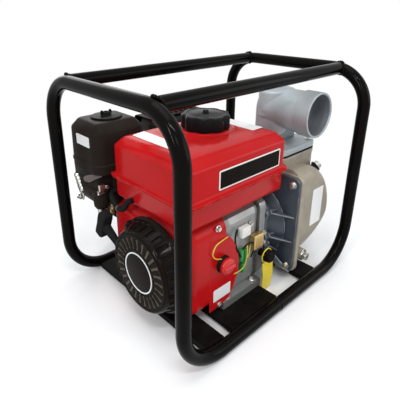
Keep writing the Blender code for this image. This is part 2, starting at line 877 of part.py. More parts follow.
def make_flywheel():
    rim = FLYWHEEL_R
    bore = SHAFT_R + GAP
    wheel = turned(
        "flywheel",
        [
            (rim, FLYWHEEL_T / 2),
            (rim, -FLYWHEEL_T / 2),
            (bore, -FLYWHEEL_T / 2),
            (bore, FLYWHEEL_T / 2),
        ],
        CRANK + Vector((FLYWHEEL_X - FLYWHEEL_T / 2, 0, 0)),
        ALONG_X,
        "iron",
    )
    blade_l = rim - CUP_R - BLADE_SPACE - PAST
    blades = []
    for index in range(BLADE_COUNT):
        angle = 2 * math.pi * index / BLADE_COUNT
        turn = Matrix.Rotation(angle, 4, "X")
        middle = turn @ Vector((0, 0, CUP_R + BLADE_SPACE + blade_l / 2))
        centre_x = FLYWHEEL_X - FLYWHEEL_T - BLADE_H / 2 + PAST
        blade_at = CRANK + Vector((centre_x, 0, 0)) + middle
        blades.append(box(f"blade_{index}", (BLADE_H + 2 * PAST, BLADE_T, blade_l), blade_at, turn))
    join(wheel, *blades)
    cup_back = FLYWHEEL_X - FLYWHEEL_T - GAP
    turned(
        "starter_cup",
        [
            (CUP_R, 0),
            (CUP_R, -CUP_T - BLADE_H),
            (CUP_R - CUP_WALL, -CUP_T - BLADE_H),
            (CUP_R - CUP_WALL, -CUP_WALL),
            (bore, -CUP_WALL),
            (bore, 0),
        ],
        CRANK + Vector((cup_back, 0, 0)),
        ALONG_X,
        "steel",
    )


def make_shroud():
    size = (SHROUD_BACK_X - SHROUD_FACE_X, SHROUD_REAR_Y - SHROUD_FRONT_Y, SHROUD_TOP - SHROUD_LOW)
    mid = Vector(
        (
            (SHROUD_BACK_X + SHROUD_FACE_X) / 2,
            (SHROUD_REAR_Y + SHROUD_FRONT_Y) / 2,
            (SHROUD_TOP + SHROUD_LOW) / 2,
        )
    )
    shroud = box("fan_shroud", size, mid, paint="shroud_red", edge=SHROUD_ROUND, edge_steps=4)
    ear_mid = SHROUD_EAR_X
    low_deg = -math.degrees(math.asin((SHROUD_EAR_Z - SHROUD_LOW - SHROUD_ROUND) / SHROUD_EAR_R))
    high_deg = math.degrees(math.asin((SHROUD_TOP - SHROUD_ROUND - SHROUD_EAR_Z) / SHROUD_EAR_R * 0.98))
    ear_arc = arc(ear_mid, SHROUD_EAR_Z, SHROUD_EAR_R, low_deg, high_deg, 10)
    outline = [(ear_mid, ear_arc[0][1]), *ear_arc, (ear_mid, ear_arc[-1][1])]
    ear_y = SHROUD_FRONT_Y + SHROUD_WALL / 2
    ear = slab("shroud_ear", outline, SHROUD_WALL, (0, ear_y, 0), ALONG_NEG_Y)
    hollow_size = (size[0], size[1] - 2 * SHROUD_WALL, size[2] - 2 * SHROUD_WALL)
    hollow = box(
        "shroud_hollow",
        (hollow_size[0] + SHROUD_BACK_CUT, *hollow_size[1:]),
        mid + Vector((SHROUD_WALL + SHROUD_BACK_CUT / 2, 0, 0)),
        edge=SHROUD_ROUND - SHROUD_WALL,
        edge_steps=4,
    )
    cut_at = (SHROUD_BACK_X + SHROUD_BACK_CUT / 2, 0, mid.z)
    rear_cut = box("shroud_back_cut", (SHROUD_BACK_CUT, 2 * size[1], 2 * size[2]), cut_at)
    intake = rod(
        "shroud_intake",
        RECOIL_R - SHROUD_INTAKE_STEP,
        CRANK + Vector((SHROUD_FACE_X - FAR_PAST, 0, 0)),
        CRANK + Vector((SHROUD_FACE_X + FAR_PAST, 0, 0)),
        ALONG_X,
    )
    carve(shroud, hollow, rear_cut, intake)
    join(shroud, ear)
    coil_low = CRANK_Z + FLYWHEEL_R + 2 * RUN
    coil_high = SHROUD_TOP - SHROUD_WALL - GAP
    box(
        "ignition_coil",
        (COIL_W, COIL_L, coil_high - coil_low),
        (FLYWHEEL_X - FLYWHEEL_T / 2, CRANK_Y, (coil_high + coil_low) / 2),
        paint="iron",
        edge=0.002,
        edge_steps=1,
    )


def make_recoil():
    base_x = SHROUD_FACE_X - GAP
    face = RECOIL_DEPTH
    inner = RECOIL_R - RECOIL_WALL
    housing = turned(
        "recoil_housing",
        [
            (0, face),
            (RECOIL_R - RECOIL_EDGE, face),
            (RECOIL_R, face - RECOIL_EDGE),
            (RECOIL_R + RECOIL_FLARE, RECOIL_BASE_T),
            (RECOIL_BASE_R, RECOIL_BASE_T),
            (RECOIL_BASE_R, 0),
            (inner, 0),
            (inner, face - RECOIL_EDGE - RECOIL_WALL),
            (inner - RECOIL_EDGE, face - RECOIL_WALL),
            (REEL_POST_R, face - RECOIL_WALL),
            (REEL_POST_R, face - RECOIL_WALL - REEL_POST_L),
            (0, face - RECOIL_WALL - REEL_POST_L),
        ],
        CRANK + Vector((base_x, 0, 0)),
        ALONG_X @ Matrix.Rotation(math.pi, 4, "X"),
        "gloss_black",
        36,
    )
    slots = []
    slot_mid = RECOIL_RING_R + RECOIL_SLOT_STEP + RECOIL_SLOT_L / 2
    for index in range(RECOIL_SLOTS):
        turn = Matrix.Rotation(2 * math.pi * (index + 0.5) / RECOIL_SLOTS, 4, "X")
        middle = CRANK + Vector((base_x - face, 0, 0)) + turn @ Vector((0, 0, slot_mid))
        slots.append(box(f"face_slot_{index}", (FAR_PAST, RECOIL_SLOT_W, RECOIL_SLOT_L), middle, turn))
    carve(housing, *slots)
    reel_at = CRANK + Vector((base_x - face + RECOIL_WALL + REEL_SPACE, 0, 0))
    turned(
        "recoil_reel",
        [
            (REEL_R, REEL_T),
            (REEL_R, REEL_T * 0.8),
            (REEL_R - 0.008, REEL_T * 0.7),
            (REEL_R - 0.008, REEL_T * 0.3),
            (REEL_R, REEL_T * 0.2),
            (REEL_R, 0),
            (REEL_POST_R + RUN, 0),
            (REEL_POST_R + RUN, REEL_T),
        ],
        reel_at,
        ALONG_X,
        "matte_black",
    )
    lean = Vector((0, 0, 1)).rotation_difference(GRIP_AXIS).to_matrix().to_4x4()
    neck_end = GRIP_NECK + GRIP_AXIS * GRIP_NECK_L
    grip = rod(
        "starter_grip", GRIP_NECK_R, GRIP_NECK, neck_end, lean, "rubber", SMALL_SIDES, GRIP_NECK_R * 1.3
    )
    bar_turn = Matrix.Rotation(math.radians(20), 4, "X")
    bar_half = bar_turn @ Vector((0, 0, GRIP_BAR_L / 2))
    bar = rod("grip_bar", GRIP_BAR_R, neck_end - bar_half, neck_end + bar_half, bar_turn, sides=SMALL_SIDES)
    round_rims(bar, GRIP_BAR_R * 0.6, 2)
    join(grip, bar)


def tank_shell(name, low, high, opening_low):
    """One pressed shell of the tank, open at the seam and with half of the seam flange."""
    height = high - low
    mid_z = (low + high) / 2
    deep = TANK_ROUND * 2
    grow = -deep / 2 if opening_low else deep / 2
    shell = box(
        name, (TANK_L, TANK_W, height + deep), (TANK_X, TANK_Y, mid_z + grow), paint="shroud_red",
        edge=TANK_ROUND, edge_steps=3,
    )
    hollow = box(
        name + "_hollow",
        (TANK_L - 2 * TANK_WALL, TANK_W - 2 * TANK_WALL, height + deep - TANK_WALL),
        (TANK_X, TANK_Y, mid_z + grow + (-TANK_WALL / 2 if opening_low else TANK_WALL / 2)),
        edge=TANK_ROUND - TANK_WALL,
        edge_steps=3,
    )
    seam = low if opening_low else high
    seam_cut_z = seam - deep if opening_low else seam + deep
    seam_cut = box(name + "_seam_cut", (TANK_L * 2, TANK_W * 2, deep * 2), (TANK_X, TANK_Y, seam_cut_z))
    flange_z = seam + TANK_FLANGE_T / 2 if opening_low else seam - TANK_FLANGE_T / 2
    inner_round = TANK_ROUND - TANK_WALL
    flange = slab(
        name + "_flange",
        rounded_rect(TANK_L + 2 * TANK_FLANGE, TANK_W + 2 * TANK_FLANGE, TANK_ROUND + TANK_FLANGE),
        TANK_FLANGE_T,
        (TANK_X, TANK_Y, flange_z),
        holes=[rounded_rect(TANK_L - TANK_WALL, TANK_W - TANK_WALL, inner_round)],
    )
    carve(shell, hollow, seam_cut)
    join(shell, flange)
    return shell


def make_tank():
    upper = tank_shell("tank_upper_shell", TANK_SEAM + GAP / 2, TANK_TOP, True)
    tank_shell("tank_lower_shell", TANK_BOTTOM, TANK_SEAM - GAP / 2, False)
    filler = Vector((FILLER_X, FILLER_Y, 0))
    neck_from = filler + Vector((0, 0, TANK_TOP - TANK_WALL / 2))
    neck_top = TANK_TOP + FILLER_H
    neck = rod("filler_neck", FILLER_R, neck_from, filler + Vector((0, 0, neck_top)), UPRIGHT)
    hole = rod(
        "filler_hole",
        FILLER_R - CAP_WALL,
        neck_from - Vector((0, 0, FAR_PAST)),
        filler + Vector((0, 0, neck_top + FAR_PAST)),
        UPRIGHT,
    )
    join(upper, neck)
    carve(upper, hole)
    turned(
        "fuel_cap",
        [
            (0, CAP_H + CAP_NUB),
            (CAP_R * 0.35, CAP_H + CAP_NUB),
            (CAP_R * 0.4, CAP_H),
            (CAP_R - CAP_WALL, CAP_H),
            (CAP_R, CAP_H - CAP_WALL),
            (CAP_R, 0),
            (FILLER_R + RUN, 0),
            (FILLER_R + RUN, FILLER_H),
            (0, FILLER_H),
        ],
        filler + Vector((0, 0, TANK_TOP + GAP)),
        UPRIGHT,
        "gloss_black",
    )
    inlet_y = CARB_Y - CARB_HALF_W - GAP
    slot_y = TANK_Y + TANK_W / 2 + 2 * HOSE_R
    wall_x = TANK_X - TANK_L / 2
    bow_x = wall_x - HOSE_SWING
    outlet = Vector((wall_x - GAP, HOSE_OUT_Y, TANK_BOTTOM + HOSE_OUT_RISE))
    route = [
        outlet,
        outlet + Vector((-0.7 * HOSE_SWING, 0.002, -0.002)),
        Vector((bow_x, HOSE_OUT_Y + 1.2 * HOSE_SWING, TANK_BOTTOM - 0.6 * HOSE_SWING)),
        Vector((bow_x + HOSE_R / 2, HOSE_OUT_Y + 3.2 * HOSE_SWING, TANK_BOTTOM - HOSE_SWING)),
        Vector((wall_x - HOSE_R / 2, slot_y, TANK_BOTTOM + HOSE_R / 2)),
        Vector((wall_x + 2 * HOSE_SWING, slot_y, TANK_BOTTOM + HOSE_R)),
        Vector((CARB_X - HOSE_SWING, slot_y, CARB_Z + 4 * HOSE_R)),
        Vector((CARB_X + HOSE_R, inlet_y - HOSE_R, CARB_Z)),
    ]
    hose_end = Vector((CARB_X + HOSE_R, inlet_y, CARB_Z))
    tube("fuel_hose", [*smooth_path(route, 3), hose_end], HOSE_R, "rubber", 2)


def make_carburettor():
    face_x = CYL_X - HEAD_HALF - GAP
    carb = box(
        "carburettor",
        (CARB_L, 2 * CARB_HALF_W, CARB_RISE - CARB_LOW),
        (CARB_X, CARB_Y, CARB_Z + (CARB_RISE + CARB_LOW) / 2),
        paint="bare_aluminium",
        edge=0.004,
        edge_steps=1,
    )
    spacer = box(
        "carb_spacer",
        (SPACER_T + 0.001, 1.2 * CARB_HALF_W, 1.6 * CARB_HALF_W),
        (face_x - SPACER_T / 2 - 0.0005, CARB_Y, CARB_Z),
    )
    end_x = CARB_X - CARB_L / 2
    bore_from = (end_x - PAST, CARB_Y, CARB_Z)
    bore = rod("carb_bore", CARB_BORE_R, bore_from, (face_x + PAST, CARB_Y, CARB_Z), ALONG_X)
    join(carb, spacer)
    carve(carb, bore)
    bowl_top = CARB_Z + CARB_LOW - GAP
    turned(
        "carburettor_bowl",
        [
            (0, 0),
            (BOWL_R, 0),
            (BOWL_R, -BOWL_H + 0.006),
            (BOWL_R - 0.006, -BOWL_H),
            (0, -BOWL_H),
        ],
        (CARB_X, CARB_Y, bowl_top),
        UPRIGHT,
        "steel",
        20,
    )
    side_y = CARB_Y + CARB_HALF_W + GAP
    levers = (
        ("choke_lever", CARB_X - 0.008, CARB_Z + 0.010, CHOKE_LEVER_L, 95),
        ("fuel_tap_lever", CARB_X + 0.012, CARB_Z - 0.010, TAP_LEVER_L, 200),
    )
    for name, x, z, length, lean_deg in levers:
        turn = ALONG_NEG_Y @ Matrix.Rotation(math.radians(lean_deg), 4, "Z")
        lever(name, length, (x, side_y + LEVER_T / 2, z), turn)
    top_z = CARB_Z + CARB_RISE + GAP
    turn = Matrix.Rotation(math.radians(90), 4, "Z")
    lever("throttle_lever", THROTTLE_LEVER_L, (CARB_X + 0.014, CARB_Y, top_z + LEVER_T / 2), turn)


def lever(name, length, at, turn):
    """A flat lever: a round hub on the joint axis and a tapering arm with a rounded tip."""
    tip_r = LEVER_HUB_R * 0.6
    outline = arc(0.0, 0.0, LEVER_HUB_R, 60, 300, 10) + arc(length, 0.0, tip_r, -90, 90, 5)
    slab(name, outline, LEVER_T, at, turn, "gloss_black")


def make_air_cleaner():
    carb_end = CARB_X - CARB_L / 2 - GAP
    duct_low = CARB_Z + CARB_LOW
    tray_low = CLEANER_SEAM - TRAY_T
    duct_x = carb_end - DUCT_L / 2
    base = box(
        "air_cleaner_base",
        (CLEANER_L - 0.006, CLEANER_W - 0.006, TRAY_T),
        (CLEANER_X, CLEANER_Y, CLEANER_SEAM - TRAY_T / 2),
        paint="matte_black",
        edge=0.003,
        edge_steps=1,
    )
    duct = box(
        "intake_duct",
        (DUCT_L, DUCT_W, tray_low + 0.002 - duct_low),
        (duct_x, CARB_Y, (tray_low + 0.002 + duct_low) / 2),
        edge=0.006,
    )
    stud_top = CLEANER_SEAM + CLEANER_H + WING_DISC_T
    stud_at = Vector((CLEANER_X, CLEANER_Y, 0))
    stud = rod(
        "cleaner_stud",
        STUD_R,
        stud_at + Vector((0, 0, CLEANER_SEAM - TRAY_T / 2)),
        stud_at + Vector((0, 0, stud_top)),
        UPRIGHT,
        sides=SMALL_SIDES,
    )
    down = rod(
        "duct_down",
        CARB_BORE_R,
        (duct_x, CARB_Y + CARB_STEP, CARB_Z),
        (duct_x, CARB_Y + CARB_STEP, CLEANER_SEAM + PAST),
        UPRIGHT,
    )
    across = rod(
        "duct_across", CARB_BORE_R, (duct_x, CARB_Y, CARB_Z), (carb_end + 0.001, CARB_Y, CARB_Z), ALONG_X
    )
    join(base, duct, stud)
    carve(base, down, across)
    shell_low = CLEANER_SEAM + GAP
    shell_h = CLEANER_H - GAP
    cover = slab(
        "air_cleaner_cover",
        rounded_rect(CLEANER_L, CLEANER_W, 0.022, 2),
        shell_h,
        (CLEANER_X, CLEANER_Y, shell_low + shell_h / 2),
        paint="matte_black",
    )
    top_edge = cover.modifiers.new("chamfered_top", "BEVEL")
    top_edge.width = CLEANER_CHAMFER
    top_edge.segments = 1
    top_edge.limit_method = "WEIGHT"
    mark_top_edges(cover)
    hollow_h = shell_h - CLEANER_WALL
    hollow = slab(
        "cleaner_hollow",
        rounded_rect(CLEANER_L - 2 * CLEANER_WALL, CLEANER_W - 2 * CLEANER_WALL, 0.020, 2),
        hollow_h + 0.002,
        (CLEANER_X, CLEANER_Y, shell_low + hollow_h / 2 - 0.001),
    )
    hollow_edge = hollow.modifiers.new("chamfered_top", "BEVEL")
    hollow_edge.width = CLEANER_CHAMFER
    hollow_edge.segments = 1
    hollow_edge.limit_method = "WEIGHT"
    mark_top_edges(hollow)
    stud_hole = rod(
        "stud_hole",
        STUD_R + GAP,
        stud_at + Vector((0, 0, stud_top - 0.02)),
        stud_at + Vector((0, 0, stud_top + 0.01)),
        UPRIGHT,
        sides=SMALL_SIDES,
    )
    carve(cover, hollow, stud_hole)
    filter_r = FILTER_R - FILTER_WALL
    turned(
        "air_filter_element",
        [(FILTER_R, FILTER_H), (FILTER_R, 0), (filter_r, 0), (filter_r, FILTER_H)],
        (CLEANER_X, CLEANER_Y, CLEANER_SEAM + GAP),
        UPRIGHT,
        "foam",
        24,
    )
    nut = turned(
        "cleaner_wing_nut",
        [
            (WING_R, WING_DISC_T + WING_H * 0.5),
            (WING_R, WING_DISC_T),
            (WING_DISC_R, WING_DISC_T * 0.6),
            (WING_DISC_R, 0),
            (STUD_R + GAP, 0),
            (STUD_R + GAP, WING_DISC_T + WING_H * 0.5),
        ],
        (CLEANER_X, CLEANER_Y, CLEANER_SEAM + CLEANER_H + GAP),
        UPRIGHT,
        "matte_black",
        20,
    )
    wing_z = CLEANER_SEAM + CLEANER_H + GAP + WING_DISC_T * 0.8 + WING_H / 2
    wings = []
    for index, side in enumerate((-1, 1)):
        offset = side * (STUD_R + GAP + 0.009)
        wings.append(box(f"wing_{index}", (0.014, 0.005, WING_H), (CLEANER_X + offset, CLEANER_Y, wing_z)))
    join(nut, *wings)


def mark_top_edges(obj):
    """Gives the bevel weight to the edges of the top face alone."""
    top = max(vertex.co.z for vertex in obj.data.vertices)
    weight = obj.data.attributes.new("bevel_weight_edge", "FLOAT", "EDGE")
    upper = {v.index for v in obj.data.vertices if v.co.z > top - 0.0001}
    faces = [f for f in obj.data.polygons if all(index in upper for index in f.vertices)]
    counts = {}
    for face in faces:
        for key in face.edge_keys:
            counts[key] = counts.get(key, 0) + 1
    for edge in obj.data.edges:
        key = tuple(sorted(edge.vertices))
        weight.data[edge.index].value = 1.0 if counts.get(key) == 1 else 0.0


def make_exhaust():
    body_z = MUFFLER_LOW + MUFFLER_H / 2
    box(
        "muffler_body",
        (MUFFLER_L, MUFFLER_W, MUFFLER_H),
        (MUFFLER_X, MUFFLER_Y, body_z),
        paint="iron",
        edge=MUFFLER_ROUND,
        edge_steps=3,
    )
    shield_front = MUFFLER_Y + MUFFLER_W / 2 + SHIELD_SPACE
    wide = MUFFLER_L / 2 + SHIELD_SPACE
    top_t = MUFFLER_LOW + MUFFLER_H + GAP
    outline = [
        (MUFFLER_Y - MUFFLER_W / 2, top_t),
        (shield_front, top_t),
        (shield_front, MUFFLER_LOW + 0.010),
        (shield_front + SHIELD_T, MUFFLER_LOW + 0.010),
        (shield_front + SHIELD_T, top_t + SHIELD_T),
        (MUFFLER_Y - MUFFLER_W / 2, top_t + SHIELD_T),
    ]
    turn = ALONG_X @ Matrix.Rotation(math.pi / 2, 4, "Z")
    slab("muffler_shield", outline, 2 * wide, (MUFFLER_X, 0, 0), turn, "gloss_black")
    start = PORT_POINT + ACROSS * 0.018
    start.x = CYL_X + HEAD_HALF + GAP
    corner = start + Vector((PIPE_REACH, 0, 0))
    raised = Vector((corner.x, MUFFLER_Y, start.z + PIPE_R * 1.8))
    corners = [start, corner, raised, Vector((corner.x, MUFFLER_Y, MUFFLER_LOW - GAP))]
    tube("exhaust_pipe", filleted(corners, PIPE_R * 1.05, 4), PIPE_R, "iron", 3)


def make_fittings():
    wall_y = SHROUD_FRONT_Y - GAP
    switch = Vector((SWITCH_X, 0, SWITCH_Z))
    face_y = wall_y - SWITCH_T
    rod(
        "stop_switch_body",
        SWITCH_R,
        switch + Vector((0, wall_y, 0)),
        switch + Vector((0, face_y, 0)),
        ALONG_NEG_Y,
        "matte_black",
        20,
    )
    knob_from = face_y - GAP
    knob = rod(
        "stop_switch_knob",
        KNOB_R,
        switch + Vector((0, knob_from, 0)),
        switch + Vector((0, knob_from - KNOB_T * 0.6, 0)),
        ALONG_NEG_Y,
        "knob_red",
        20,
    )
    ridge_at = switch + Vector((0, knob_from - KNOB_T / 2 - PAST, 0))
    ridge = box("knob_ridge", (KNOB_R * 1.8, KNOB_T - 2 * PAST, KNOB_RIDGE), ridge_at)
    join(knob, ridge)
    case_y = CASE_FRONT_Y - GAP
    cap_x = CASE_REAR_X + GAP + COVER_T / 2
    turned(
        "oil_filler_cap",
        [
            (0, OIL_CAP_L),
            (OIL_CAP_R * 0.8, OIL_CAP_L),
            (OIL_CAP_R, OIL_CAP_L - OIL_CAP_EDGE),
            (OIL_CAP_R, OIL_CAP_L * 0.5),
            (OIL_CAP_R * 0.6, OIL_CAP_L * 0.5),
            (OIL_CAP_R * 0.6, 0),
            (0, 0),
        ],
        (cap_x, case_y, OIL_CAP_Z),
        ALONG_NEG_Y,
        "matte_black",
        20,
    )
    boxes = (
        ("oil_alert_unit", SENSOR_SIZE, SENSOR_X, SENSOR_Z, "white_plastic"),
        ("charging_regulator", REGULATOR_SIZE, REGULATOR_X, REGULATOR_Z, "brass"),
    )
    for name, size, x, z, paint in boxes:
        box(name, size, (x, case_y - size[1] / 2, z), paint=paint, edge=0.0015, edge_steps=1)


def make_pump_bracket():
    length = BRACKET_L
    plate_at = length - BRACKET_PLATE_T
    hole = SHAFT_R + RUN
    wall = BRACKET_WALL
    seal_r = SEAL_R + GAP
    bracket = turned(
        "pump_bracket",
        [
            (BRACKET_MOUTH_R, length),
            (BRACKET_MOUTH_R, plate_at - BRACKET_LIP),
            (BRACKET_NECK_R, wall),
            (BRACKET_NECK_R, 0),
            (BRACKET_NECK_R - 2 * wall, 0),
            (BRACKET_NECK_R - 2 * wall, wall),
            (BRACKET_MOUTH_R - 4 * wall, plate_at - BRACKET_STEP),
            (hole + wall * 2.5, plate_at - BRACKET_STEP),
            (hole + wall * 2, plate_at - SEAL_HOUSE),
            (hole, plate_at - SEAL_HOUSE),
            (hole, plate_at - BRACKET_STEP),
            (seal_r, plate_at - BRACKET_STEP),
            (seal_r, length),
        ],
        CRANK + Vector((BRACKET_X, 0, 0)),
        ALONG_X,
        "bracket_slate",
        32,
    )
    plate_x = BRACKET_X + length - BRACKET_PLATE_T / 2
    plate = slab(
        "bracket_plate",
        rounded_rect(FLANGE_H, FLANGE_W, FLANGE_ROUND, 5),
        BRACKET_PLATE_T,
        (plate_x, CRANK_Y, CASING_Z),
        ALONG_X,
        holes=[[(u - CRANK_Z + CASING_Z, v) for u, v in circle(BRACKET_MOUTH_R - wall)]],
    )
    ribs = []
    rib_l = FLANGE_H / 2 - BRACKET_NECK_R - RIB_SHORT
    for index in range(BRACKET_RIBS):
        turn = Matrix.Rotation(2 * math.pi * (index + 0.5) / BRACKET_RIBS, 4, "X")
        middle = turn @ Vector((0, 0, BRACKET_NECK_R + rib_l / 2 - RIB_SINK))
        rib_x = BRACKET_X + length * 0.55
        rib_at = CRANK + Vector((rib_x, 0, 0)) + middle
        ribs.append(box(f"rib_{index}", (length * 0.80, RIB_T, rib_l), rib_at, turn))
    join(bracket, plate, *ribs)
    seal = [(SEAL_R, SEAL_T), (SEAL_R, 0), (SHAFT_R + RUN, 0), (SHAFT_R + RUN, SEAL_T)]
    seal_x = BRACKET_X + plate_at - BRACKET_STEP + GAP
    turned("mechanical_seal", seal, CRANK + Vector((seal_x, 0, 0)), ALONG_X, "rubber", 24)


def d_outline(radius, back):
    """A D in the XZ plane: straight at the flange side and a half circle toward the suction side."""
    return [(back, -radius), *arc(CASING_X, 0.0, radius, -90, 90, 12), (back, radius)]


def make_pump_casing():
    back = FLANGE_X - CASING_ROUND - 2 * PAST
    casing = slab(
        "pump_casing",
        d_outline(CASING_R, back),
        CASING_W,
        (0, CRANK_Y, CASING_Z),
        ALONG_NEG_Y,
        "casing_beige",
    )
    round_rims(casing, CASING_ROUND, 3)
    back_cut = box(
        "casing_back_cut",
        (2 * CASING_R, 2 * CASING_W, 3 * CASING_R),
        (FLANGE_X - CASING_R, CRANK_Y, CASING_Z),
    )
    flange = slab(
        "casing_flange",
        rounded_rect(FLANGE_H, FLANGE_W, FLANGE_ROUND, 5),
        FLANGE_T,
        (FLANGE_X + FLANGE_T / 2, CRANK_Y, CASING_Z),
        ALONG_X,
    )
    hollow = slab(
        "casing_hollow",
        d_outline(CASING_R - CASING_WALL, back),
        CASING_W - 2 * CASING_WALL,
        (0, CRANK_Y, CASING_Z),
        ALONG_NEG_Y,
    )
    round_rims(hollow, CASING_ROUND - CASING_WALL, 3)
    foot_low = PLATE_TOP + GAP
    foot_high = CASING_Z - CASING_R + CASING_WALL
    foot = box(
        "pump_foot",
        (PUMP_PLATE_W, PUMP_FOOT_W, foot_high - foot_low),
        (PUMP_PLATE_X, CRANK_Y, (foot_high + foot_low) / 2),
    )
    neck_low = CASING_Z + CASING_R - CASING_WALL - NECK_SINK
    neck = box(
        "neck",
        (NECK_L - NECK_EASE_L, NECK_W - NECK_EASE_W, NECK_TOP - neck_low),
        (NECK_X, CRANK_Y, (NECK_TOP + neck_low) / 2),
    )
    neck_flange = slab(
        "neck_flange",
        rounded_rect(NECK_L, NECK_W, NECK_ROUND, 3),
        NECK_FLANGE_T,
        (NECK_X, CRANK_Y, NECK_TOP - NECK_FLANGE_T / 2),
    )
    boss = rod(
        "suction_boss", SUCTION_BOSS_R, (CASING_X + CASING_R * 0.55, CRANK_Y, SUCTION_Z),
        (SUCTION_FACE_X, CRANK_Y, SUCTION_Z), ALONG_X,
    )
    neck_bore = rod(
        "neck_bore",
        PORT_R,
        (NECK_X, CRANK_Y, neck_low - PORT_R),
        (NECK_X, CRANK_Y, NECK_TOP + FAR_PAST),
        UPRIGHT,
    )
    suction_bore = rod(
        "suction_bore", PORT_R, (CASING_X + CASING_R * 0.4, CRANK_Y, SUCTION_Z),
        (SUCTION_FACE_X + FAR_PAST, CRANK_Y, SUCTION_Z), ALONG_X,
    )
    front_y = CRANK_Y - CASING_W / 2
    drain_x = CASING_X + DRAIN_STEP
    drain_hole = rod(
        "drain_hole", DRAIN_HEX_R * 0.6 + GAP, (drain_x, front_y - PAST, DRAIN_Z),
        (drain_x, front_y + CASING_WALL + DRAIN_HEX_H, DRAIN_Z), ALONG_NEG_Y, sides=SMALL_SIDES,
    )
    carve(casing, back_cut)
    join(casing, flange, foot, neck, neck_flange, boss)
    carve(casing, hollow, neck_bore, suction_bore, drain_hole)
    turned(
        "pump_drain_plug",
        [
            (0, DRAIN_HEX_H),
            (DRAIN_HEX_R, DRAIN_HEX_H),
            (DRAIN_HEX_R, GAP),
            (DRAIN_HEX_R * 0.6, GAP),
            (DRAIN_HEX_R * 0.6, -CASING_WALL),
            (0, -CASING_WALL),
        ],
        (drain_x, front_y, DRAIN_Z),
        ALONG_NEG_Y,
        "steel",
        12,
    )


def make_pump_inside():
    front = VOLUTE_L
    turned(
        "inner_volute",
        [
            (VOLUTE_R, front),
            (VOLUTE_R, GAP),
            (VOLUTE_R - VOLUTE_WALL, GAP),
            (VOLUTE_R - VOLUTE_WALL, front - VOLUTE_WALL),
            (PORT_R, front - VOLUTE_WALL),
            (PORT_R, front),
        ],
        CRANK + Vector((FLANGE_X - GAP, 0, 0)),
        ALONG_X,
        "iron",
    )
    disc_x = FLANGE_X + IMPELLER_SPACE
    bore = SHAFT_R + GAP
    wheel = turned(
        "impeller",
        [
            (IMPELLER_R, IMPELLER_T),
            (IMPELLER_R, 0),
            (bore, 0),
            (bore, IMPELLER_T + VANE_H * 0.8),
            (HUB_R, IMPELLER_T + VANE_H * 0.8),
            (HUB_R + VANE_T, IMPELLER_T),
        ],
        CRANK + Vector((disc_x, 0, 0)),
        ALONG_X,
        "iron",
    )
    vanes = []
    vane_l = IMPELLER_R - HUB_R - 2 * PAST
    for index in range(VANE_COUNT):
        turn = Matrix.Rotation(2 * math.pi * index / VANE_COUNT, 4, "X")
        lean = Matrix.Rotation(math.radians(25), 4, "X")
        middle = turn @ Vector((0, 0, HUB_R + vane_l / 2))
        centre_x = disc_x + IMPELLER_T + VANE_H / 2 - PAST
        vane_at = CRANK + Vector((centre_x, 0, 0)) + middle
        vanes.append(box(f"vane_{index}", (VANE_H, VANE_T, vane_l), vane_at, turn @ lean))
    join(wheel, *vanes)


def make_discharge():
    gasket_at = NECK_TOP + GAP + GASKET_T / 2
    slab(
        "discharge_gasket",
        rounded_rect(NECK_L, NECK_W, NECK_ROUND, 3),
        GASKET_T,
        (NECK_X, CRANK_Y, gasket_at),
        paint="rubber",
        holes=[circle(PORT_R)],
    )
    base = NECK_TOP + 2 * GAP + GASKET_T
    elbow = slab(
        "discharge_elbow",
        rounded_rect(NECK_L, NECK_W, NECK_ROUND, 3),
        ELBOW_FLANGE_T,
        (NECK_X, CRANK_Y, base + ELBOW_FLANGE_T / 2),
        paint="bare_aluminium",
    )
    tower_h = ELBOW_AXIS_Z - base
    tower = box(
        "elbow_tower",
        (ELBOW_TOWER, ELBOW_TOWER, tower_h),
        (NECK_X, CRANK_Y, base + tower_h / 2),
        edge=ELBOW_TOWER_ROUND,
    )
    back_y = CRANK_Y + ELBOW_BACK
    pipe_end = (NECK_X, ELBOW_MOUTH_Y + PAST, ELBOW_AXIS_Z)
    pipe = rod("elbow_pipe", ELBOW_PIPE_R, (NECK_X, back_y, ELBOW_AXIS_Z), pipe_end, ALONG_NEG_Y)
    band = rod(
        "elbow_mouth", ELBOW_MOUTH_R, (NECK_X, ELBOW_MOUTH_Y + ELBOW_BAND, ELBOW_AXIS_Z),
        (NECK_X, ELBOW_MOUTH_Y, ELBOW_AXIS_Z), ALONG_NEG_Y,
    )
    top_z = ELBOW_AXIS_Z + ELBOW_PIPE_R + PLUG_BOSS_RISE
    boss = rod(
        "plug_boss", PLUG_BOSS_R, (NECK_X, CRANK_Y, ELBOW_AXIS_Z), (NECK_X, CRANK_Y, top_z), UPRIGHT, sides=20
    )
    rise_bore = rod(
        "rise_bore", PORT_R, (NECK_X, CRANK_Y, base - FAR_PAST), (NECK_X, CRANK_Y, ELBOW_AXIS_Z), UPRIGHT
    )
    mouth_bore = rod(
        "mouth_bore", PORT_R, (NECK_X, CRANK_Y + PORT_R, ELBOW_AXIS_Z),
        (NECK_X, ELBOW_MOUTH_Y - FAR_PAST, ELBOW_AXIS_Z), ALONG_NEG_Y,
    )
    plug_r = PLUG_HEX_R * 0.65
    plug_hole = rod(
        "plug_bore",
        plug_r + GAP,
        (NECK_X, CRANK_Y, ELBOW_AXIS_Z),
        (NECK_X, CRANK_Y, top_z + FAR_PAST),
        UPRIGHT,
        sides=SMALL_SIDES,
    )
    join(elbow, tower, pipe, band, boss)
    carve(elbow, rise_bore, mouth_bore, plug_hole)
    turned(
        "priming_plug",
        [
            (0, PLUG_HEX_H),
            (PLUG_HEX_R, PLUG_HEX_H),
            (PLUG_HEX_R, GAP),
            (plug_r, GAP),
            (plug_r, -PLUG_SINK),
            (0, -PLUG_SINK),
        ],
        (NECK_X, CRANK_Y, top_z),
        UPRIGHT,
        "bare_aluminium",
        12,
    )


